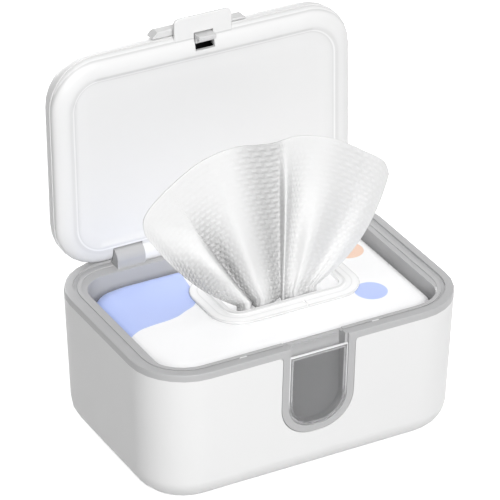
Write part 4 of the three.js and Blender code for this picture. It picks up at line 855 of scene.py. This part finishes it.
class WARMER_OT_pack(bpy.types.Operator):
    """Makes the refill pack's film and finishes its collar"""

    bl_idname = "warmer.pack"
    bl_label = "Refill pack"

    def execute(self, context):
        dress("pack_collar", self.collar_material(), COLLAR_EDGE)
        film = self.film()
        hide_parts("refill_pack")
        return {"FINISHED"}

    def collar_material(self):
        """Glossy plastic, with painted shade along the collar's rim and its inner steps"""
        material, tree, shader = parts_of(finish("collar"))
        _, x, y, _ = object_axes(tree)
        middle, size = (COLLAR_LOW + COLLAR_HIGH) / 2, COLLAR_HIGH - COLLAR_LOW
        across = calc(tree, "SUBTRACT", x, middle.x)
        along = calc(tree, "SUBTRACT", y, middle.y)
        inward = inward_of(tree, across, along, (size.x / 2, size.y / 2), COLLAR_CORNER)
        # Painted shade: grey lines where the rim and the steps would be shaded
        shade_by(tree, shader, inward, COLLAR_PAINTED_SHADES)
        return material

    def film(self):
        """The stack in its film: round shoulders, a soft crown and slack waves"""
        pack = settings().pack
        mesh = bmesh.new()
        bmesh.ops.create_cube(mesh, size=1.0)
        bmesh.ops.scale(mesh, vec=PACK_HIGH - PACK_LOW, verts=mesh.verts)
        bmesh.ops.translate(mesh, vec=(PACK_HIGH + PACK_LOW) / 2, verts=mesh.verts)
        upright = [edge for edge in mesh.edges if abs(edge.verts[0].co.z - edge.verts[1].co.z) > MM]
        round_edges(mesh, upright, pack.corner, segments=8)
        piece = object_from(mesh, "refill_pack_film", self.film_material(), "base")
        even = piece.modifiers.new("Even faces", "REMESH")
        even.mode = "VOXEL"
        even.voxel_size = FILM_FACE
        even.use_smooth_shade = True
        apply_modifier(piece, even)
        mesh = bmesh.new()
        mesh.from_mesh(piece.data)
        for vert in mesh.verts:
            self.settle(vert, pack)
        all_axes = {f"use_axis_{axis}": True for axis in "xyz"}
        bmesh.ops.smooth_vert(mesh, verts=mesh.verts, factor=0.5, **all_axes)
        mesh.to_mesh(piece.data)
        mesh.free()
        shade_smooth(piece.data)
        return piece

    def inside(self, place, low, high, corner):
        """How far a place lies inside a rounded rectangle, seen from above"""
        x = max(low.x + corner - place.x, place.x - high.x + corner)
        y = max(low.y + corner - place.y, place.y - high.y + corner)
        if x > 0 and y > 0:
            return corner - math.hypot(x, y)
        return corner - max(x, y)

    def round_off(self, reach):
        """How far a quarter circle has dropped at a share of its radius"""
        return 1 - math.sqrt(max(0.0, 1 - reach ** 2))

    def settle(self, vert, pack):
        """Draws the edges down into soft shoulders, dents the film and opens its slot"""
        place = vert.co
        top, bottom = PACK_HIGH.z, PACK_LOW.z
        edge = max(0.0, self.inside(place, PACK_LOW, PACK_HIGH, pack.corner))
        under_collar = max(0.0, self.inside(place, COLLAR_LOW, COLLAR_HIGH, COLLAR_CORNER))
        loose = 1 - min(1.0, under_collar / COLLAR_GRIP)
        waves = noise.noise(Vector([part * scale for part, scale in zip(place, FILM_WAVES)]))
        depth = pack.wrinkle * (0.5 + 0.5 * waves) * min(1.0, edge / FILM_FREE) * loose
        leftness = min(1.0, max(0.0, (LEFT_START - place.x) / LEFT_LENGTH))
        reach = max(0.0, 1 - edge / (pack.shoulder_width * (1 + LEFT_WIDER * leftness)))
        crown = pack.crown * (1 - min(1.0, edge / CROWN_REACH)) ** 2 * loose
        drop = pack.shoulder * (1 + LEFT_DEEPER * leftness) * self.round_off(reach)
        height = top - drop - crown - depth
        share = min(1.0, (place.z - bottom) / (top - bottom - TOP_SKIN))
        inward = (PACK_LOW + PACK_HIGH) / 2 - place
        foot = max(0.0, 1 - (place.z - bottom) / FOOT_REACH)
        inward *= self.round_off(foot) * FOOT_DRAW + depth * SLACK_DRAW
        inward.z = 0
        vert.co = place + inward * (1 if edge < SIDE_SKIN else 0)
        vert.co.z = bottom + (height - bottom) * share
        if share > TOP_SHARE:
            slot = self.inside(place, SLOT_LOW, SLOT_HIGH, SLOT_CORNER)
            vert.co.z -= SLOT_DEPTH * min(1.0, max(0.0, slot / SLOT_RIM))

    def film_material(self):
        """White film with a pale blue area and two round spots, as plain colour"""
        pack = settings().pack
        material, tree, shader = shader_of("Printed film")
        place, x, y, _ = object_axes(tree)
        blue = calc(tree, "MAXIMUM", self.blue_area(tree, x, y), self.spot(tree, x, y, BLUE_SPOT))
        color = mixed_color(tree, blue, (*pack.film_color, 1), (*pack.print_color, 1))
        orange = self.spot(tree, x, y, ORANGE_SPOT)
        color = mixed_color(tree, orange, color, (*pack.accent_color, 1))
        level = tree.nodes.new("ShaderNodeMapRange")
        level.interpolation_type = "SMOOTHSTEP"
        fill(tree, level, {"Value": mapped_noise(tree, place, scale=38.0, detail=1.0)})
        waves = level.outputs["Result"]
        fill(tree, shader, {
            "Base Color": color, "Roughness": ranged(tree, waves, 0.28, 0.33), "Coat Weight": 0.2,
            "Coat Roughness": 0.15,
        })
        bump_into(tree, shader, waves, strength=0.3, distance=0.0003)
        return material

    def spot(self, tree, x, y, circle):
        """A round spot of print, 1 inside and 0 outside"""
        middle_x, middle_y, radius = (part * MM for part in circle)
        across = calc(tree, "SUBTRACT", x, middle_x)
        along = calc(tree, "SUBTRACT", y, middle_y)
        return self.edge(tree, calc(tree, "SUBTRACT", radius, length_of(tree, across, along)))

    def edge(self, tree, inside):
        """0 outside and 1 inside, over a print edge a third of a millimetre wide"""
        return clamped(tree, calc(tree, "MULTIPLY_ADD", inside, PRINT_SHARPNESS, 0.5))

    def blue_area(self, tree, x, y):
        """The rear left of the pack, up to a line that curves from its left side to its back"""
        low, high = BORDER_LEFT * MM, BORDER_RIGHT * MM
        share = calc(tree, "DIVIDE", calc(tree, "SUBTRACT", x, low), high - low)
        curve = curve_of(tree, share, BORDER_SHARES)
        border = calc(tree, "MULTIPLY_ADD", curve, BORDER_DEPTH * MM, BORDER_FRONT * MM)
        return self.edge(tree, calc(tree, "SUBTRACT", y, border))


class WARMER_OT_wipe(bpy.types.Operator):
    """Makes the wipe that stands up out of the pack"""

    bl_idname = "warmer.wipe"
    bl_label = "Drawn wipe"

    def execute(self, context):
        wipe = settings().wipe
        self.line = self.edge_line()
        mesh = bmesh.new()
        uv = mesh.loops.layers.uv.new("Cloth")
        bmesh.ops.create_grid(mesh, x_segments=wipe.columns, y_segments=wipe.rows, size=1.0)
        for face in mesh.faces:
            for loop in face.loops:
                loop[uv].uv = (loop.vert.co.x * WIPE_HALF[0], loop.vert.co.y * WIPE_HALF[1])
        # Slack is also the painted shade that darkens the cloth's colour in its folds
        slack = mesh.verts.layers.float.new("Slack")
        for vert in mesh.verts:
            across, up = (vert.co.x + 1) / 2, (vert.co.y + 1) / 2
            vert[slack] = self.slack(across, up)
            vert.co = self.place(across, up)
        piece = object_from(mesh, "drawn_wipe", self.cloth_material(), "base")
        thick = piece.modifiers.new("Thickness", "SOLIDIFY")
        thick.thickness = wipe.thickness
        thick.offset = 0
        apply_modifier(piece, thick)
        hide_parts("wipe_sheet")
        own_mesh(piece)
        return {"FINISHED"}

    def along(self, points, share):
        """A smooth curve through points that are evenly spaced in their own order"""
        reach = share * (len(points) - 1)
        index = min(int(reach), len(points) - 2)
        t = reach - index
        chosen = [points[max(0, min(len(points) - 1, index + k))] for k in (-1, 0, 1, 2)]
        a, b, c, d = (Vector(p) for p in chosen)
        return 0.5 * (2 * b + (c - a) * t + (2 * a - 5 * b + 4 * c - d) * t ** 2
                      + (3 * b - 3 * c + d - a) * t ** 3)

    def edge_line(self):
        """The free edge as many short steps, with the length up to each of them"""
        line = [self.along(EDGE_SHARES, i / EDGE_STEPS) for i in range(EDGE_STEPS + 1)]
        lengths = [0.0]
        for first, second in zip(line, line[1:]):
            lengths.append(lengths[-1] + (second - first).length)
        return line, lengths

    def tip_at(self, share):
        """The place on the free edge at a share of its length, from the middle of the neck"""
        line, lengths = self.line
        wanted = share * lengths[-1]
        index = min(max(bisect.bisect_right(lengths, wanted) - 1, 0), len(line) - 2)
        t = (wanted - lengths[index]) / (lengths[index + 1] - lengths[index])
        return line[index].lerp(line[index + 1], t) * FAN_REACH

    def ease(self, value, low, high):
        """0 below a low limit and 1 above a high one, with a soft rise between them"""
        t = min(max((value - low) / (high - low), 0.0), 1.0)
        return t * t * (3 - 2 * t)

    def fold_at(self, across):
        """Between two fold lines: the share of the half width, and the height where they die away"""
        last = len(FOLD_SHARES) - 1
        index = min(int(across * last), last - 1)
        t = across * last - index
        first, second = FOLD_SHARES[index], FOLD_SHARES[index + 1]
        return first[0] + (second[0] - first[0]) * t, first[2] + (second[2] - first[2]) * t

    def on_fan(self, across, up):
        """A place on the cloth, across it and up it from the slot's rim to the free edge"""
        side, end = self.fold_at(across)
        share = (side + 1) / 2
        foot = Vector((NECK[0] + (NECK[1] - NECK[0]) * share, NECK_TOP))
        tip = Vector((0, NECK_TOP)) + self.tip_at(share)
        outward = Vector((tip.y - foot.y, foot.x - tip.x)).normalized()
        bow = LEFT_BOW if side < 0 else RIGHT_BOW
        middle = foot.lerp(tip, BOW_SHARE) + outward * bow * side * abs(side)
        flat = foot * (1 - up) ** 2 + middle * 2 * up * (1 - up) + tip * up * up
        opened = OPEN_AT_FOOT + (1 - OPEN_AT_FOOT) * self.ease(up, 0, OPEN_UP_TO)
        faded = 1 - FADE_SHARE * self.ease(up, FADE_FROM, end)
        depths = [(i, fold[1]) for i, fold in enumerate(FOLD_SHARES)]
        back = self.along(depths, across).y * DEEPEST_FOLD * opened * faded - NECK_FORWARD * (1 - up)
        back += self.uneven(side, up, CRUMPLES) * up + self.uneven(side, up, GATHERS) * (1 - up) ** 2
        return Vector((flat.x + LEAN_RIGHT * back, SLOT_MIDDLE + back, flat.y - LEAN_DOWN * back))

    def uneven(self, side, up, waves):
        """The height of soft crumples or fine gathers at a place on the cloth"""
        across, upward, seed, height = waves
        return noise.noise(Vector((side * across, up * upward, seed))) * height

    def slack(self, across, up):
        """Where the cloth hangs loose, with its embossing raised and painted shade in its colour, as
        shares from 0 to 1
        """
        side, _ = self.fold_at(across)
        loose = 0.0
        for start, start_soft, end, end_soft, shade, top in SLACK_SHARES:
            inside = self.ease(side, start - start_soft, start + start_soft)
            inside *= 1 - self.ease(side, end - end_soft, end + end_soft)
            ended = self.ease(up, top - SLACK_BELOW, top + SLACK_ABOVE)
            loose = max(loose, inside * shade * (1 - ended))
        return min(1.0, loose + NECK_SLACK * (1 - self.ease(up, 0.0, NECK_SLACK_UP_TO)))

    def place(self, across, up):
        """A place on the whole wipe, whose foot goes down into the slot"""
        point = self.on_fan(across, max(0.0, (up - IN_SLOT) / (1 - IN_SLOT)))
        if up < IN_SLOT:
            point.z = SLOT_FLOOR + (point.z - SLOT_FLOOR) * up / IN_SLOT
        return point * MM

    def cloth_material(self):
        """Embossed cloth with higher pillows where it hangs loose, and painted shade there and between its
        pillows
        """
        wipe = settings().wipe
        material, tree, shader = shader_of("Embossed non-woven")
        flat = tree.nodes.new("ShaderNodeUVMap")
        flat.uv_map = "Cloth"
        slack = tree.nodes.new("ShaderNodeAttribute")
        slack.attribute_name = "Slack"
        pillows = tree.nodes.new("ShaderNodeGroup")
        pillows.node_tree = pillows_group()
        fill(tree, pillows, {
            "Vector": flat.outputs[0], "Width": wipe.pillow_width,
            "Relief": ranged(tree, slack.outputs["Fac"], 0.1, 1.0),
        })
        place = tree.nodes.new("ShaderNodeTexCoord").outputs["Object"]
        fibre = mapped_noise(tree, place, scale=1400.0, detail=4.0, roughness=0.7)
        height = calc(tree, "MULTIPLY_ADD", fibre, FIBRE_HEIGHT, pillows.outputs["Height"])
        bump_into(tree, shader, height, strength=0.9, distance=0.0009)
        # Painted shade: loose cloth, the neck and the fold valleys are darkened, less on the pillows' tops
        painted_shade_color = tuple(part * SLACK_SHADE for part in wipe.cloth_color)
        loose = calc(tree, "MULTIPLY_ADD", pillows.outputs["Height"], -PILLOW_LIGHT, slack.outputs["Fac"])
        loose = calc(tree, "MAXIMUM", loose, 0.0)
        color = mixed_color(tree, loose, (*wipe.cloth_color, 1), (*painted_shade_color, 1))
        fill(tree, shader, {
            "Base Color": color, "Roughness": 0.85, "Sheen Weight": 0.05, "Subsurface Weight": 0.1,
            "Subsurface Scale": 1.0, "Subsurface Radius": (MM, MM, MM),
        })
        return material


OPERATORS = (
    WARMER_OT_body, WARMER_OT_window, WARMER_OT_lid, WARMER_OT_heating, WARMER_OT_supply,
    WARMER_OT_pack, WARMER_OT_wipe, WARMER_OT_stage,
)


class WARMER_PT_panel(bpy.types.Panel):
    """Lists the pieces and the settings that they read"""

    bl_label = "Wipe warmer"
    bl_idname = "WARMER_PT_panel"
    bl_space_type = "VIEW_3D"
    bl_region_type = "UI"
    bl_category = "Wipe warmer"

    def draw(self, context):
        layout = self.layout
        for operator in OPERATORS:
            layout.operator(operator.bl_idname)
        for group in (settings().casing, settings().pack, settings().wipe, settings().stage):
            box = layout.box()
            for name in group.__annotations__:
                box.prop(group, name)


CLASSES = (CasingFinish, PackSizes, WipeSizes, StageSettings, WarmerSettings, *OPERATORS, WARMER_PT_panel)


def register():
    for cls in CLASSES:
        bpy.utils.register_class(cls)
    bpy.types.Scene.wipe_warmer = bpy.props.PointerProperty(type=WarmerSettings)


def unregister():
    del bpy.types.Scene.wipe_warmer
    for cls in reversed(CLASSES):
        bpy.utils.unregister_class(cls)


def main():
    register()
    bpy.ops.warmer.body()
    bpy.ops.warmer.window()
    bpy.ops.warmer.lid()
    bpy.ops.warmer.heating()
    bpy.ops.warmer.supply()
    bpy.ops.warmer.pack()
    bpy.ops.warmer.wipe()
    bpy.ops.warmer.stage()


if __name__ == "__main__":
    main()
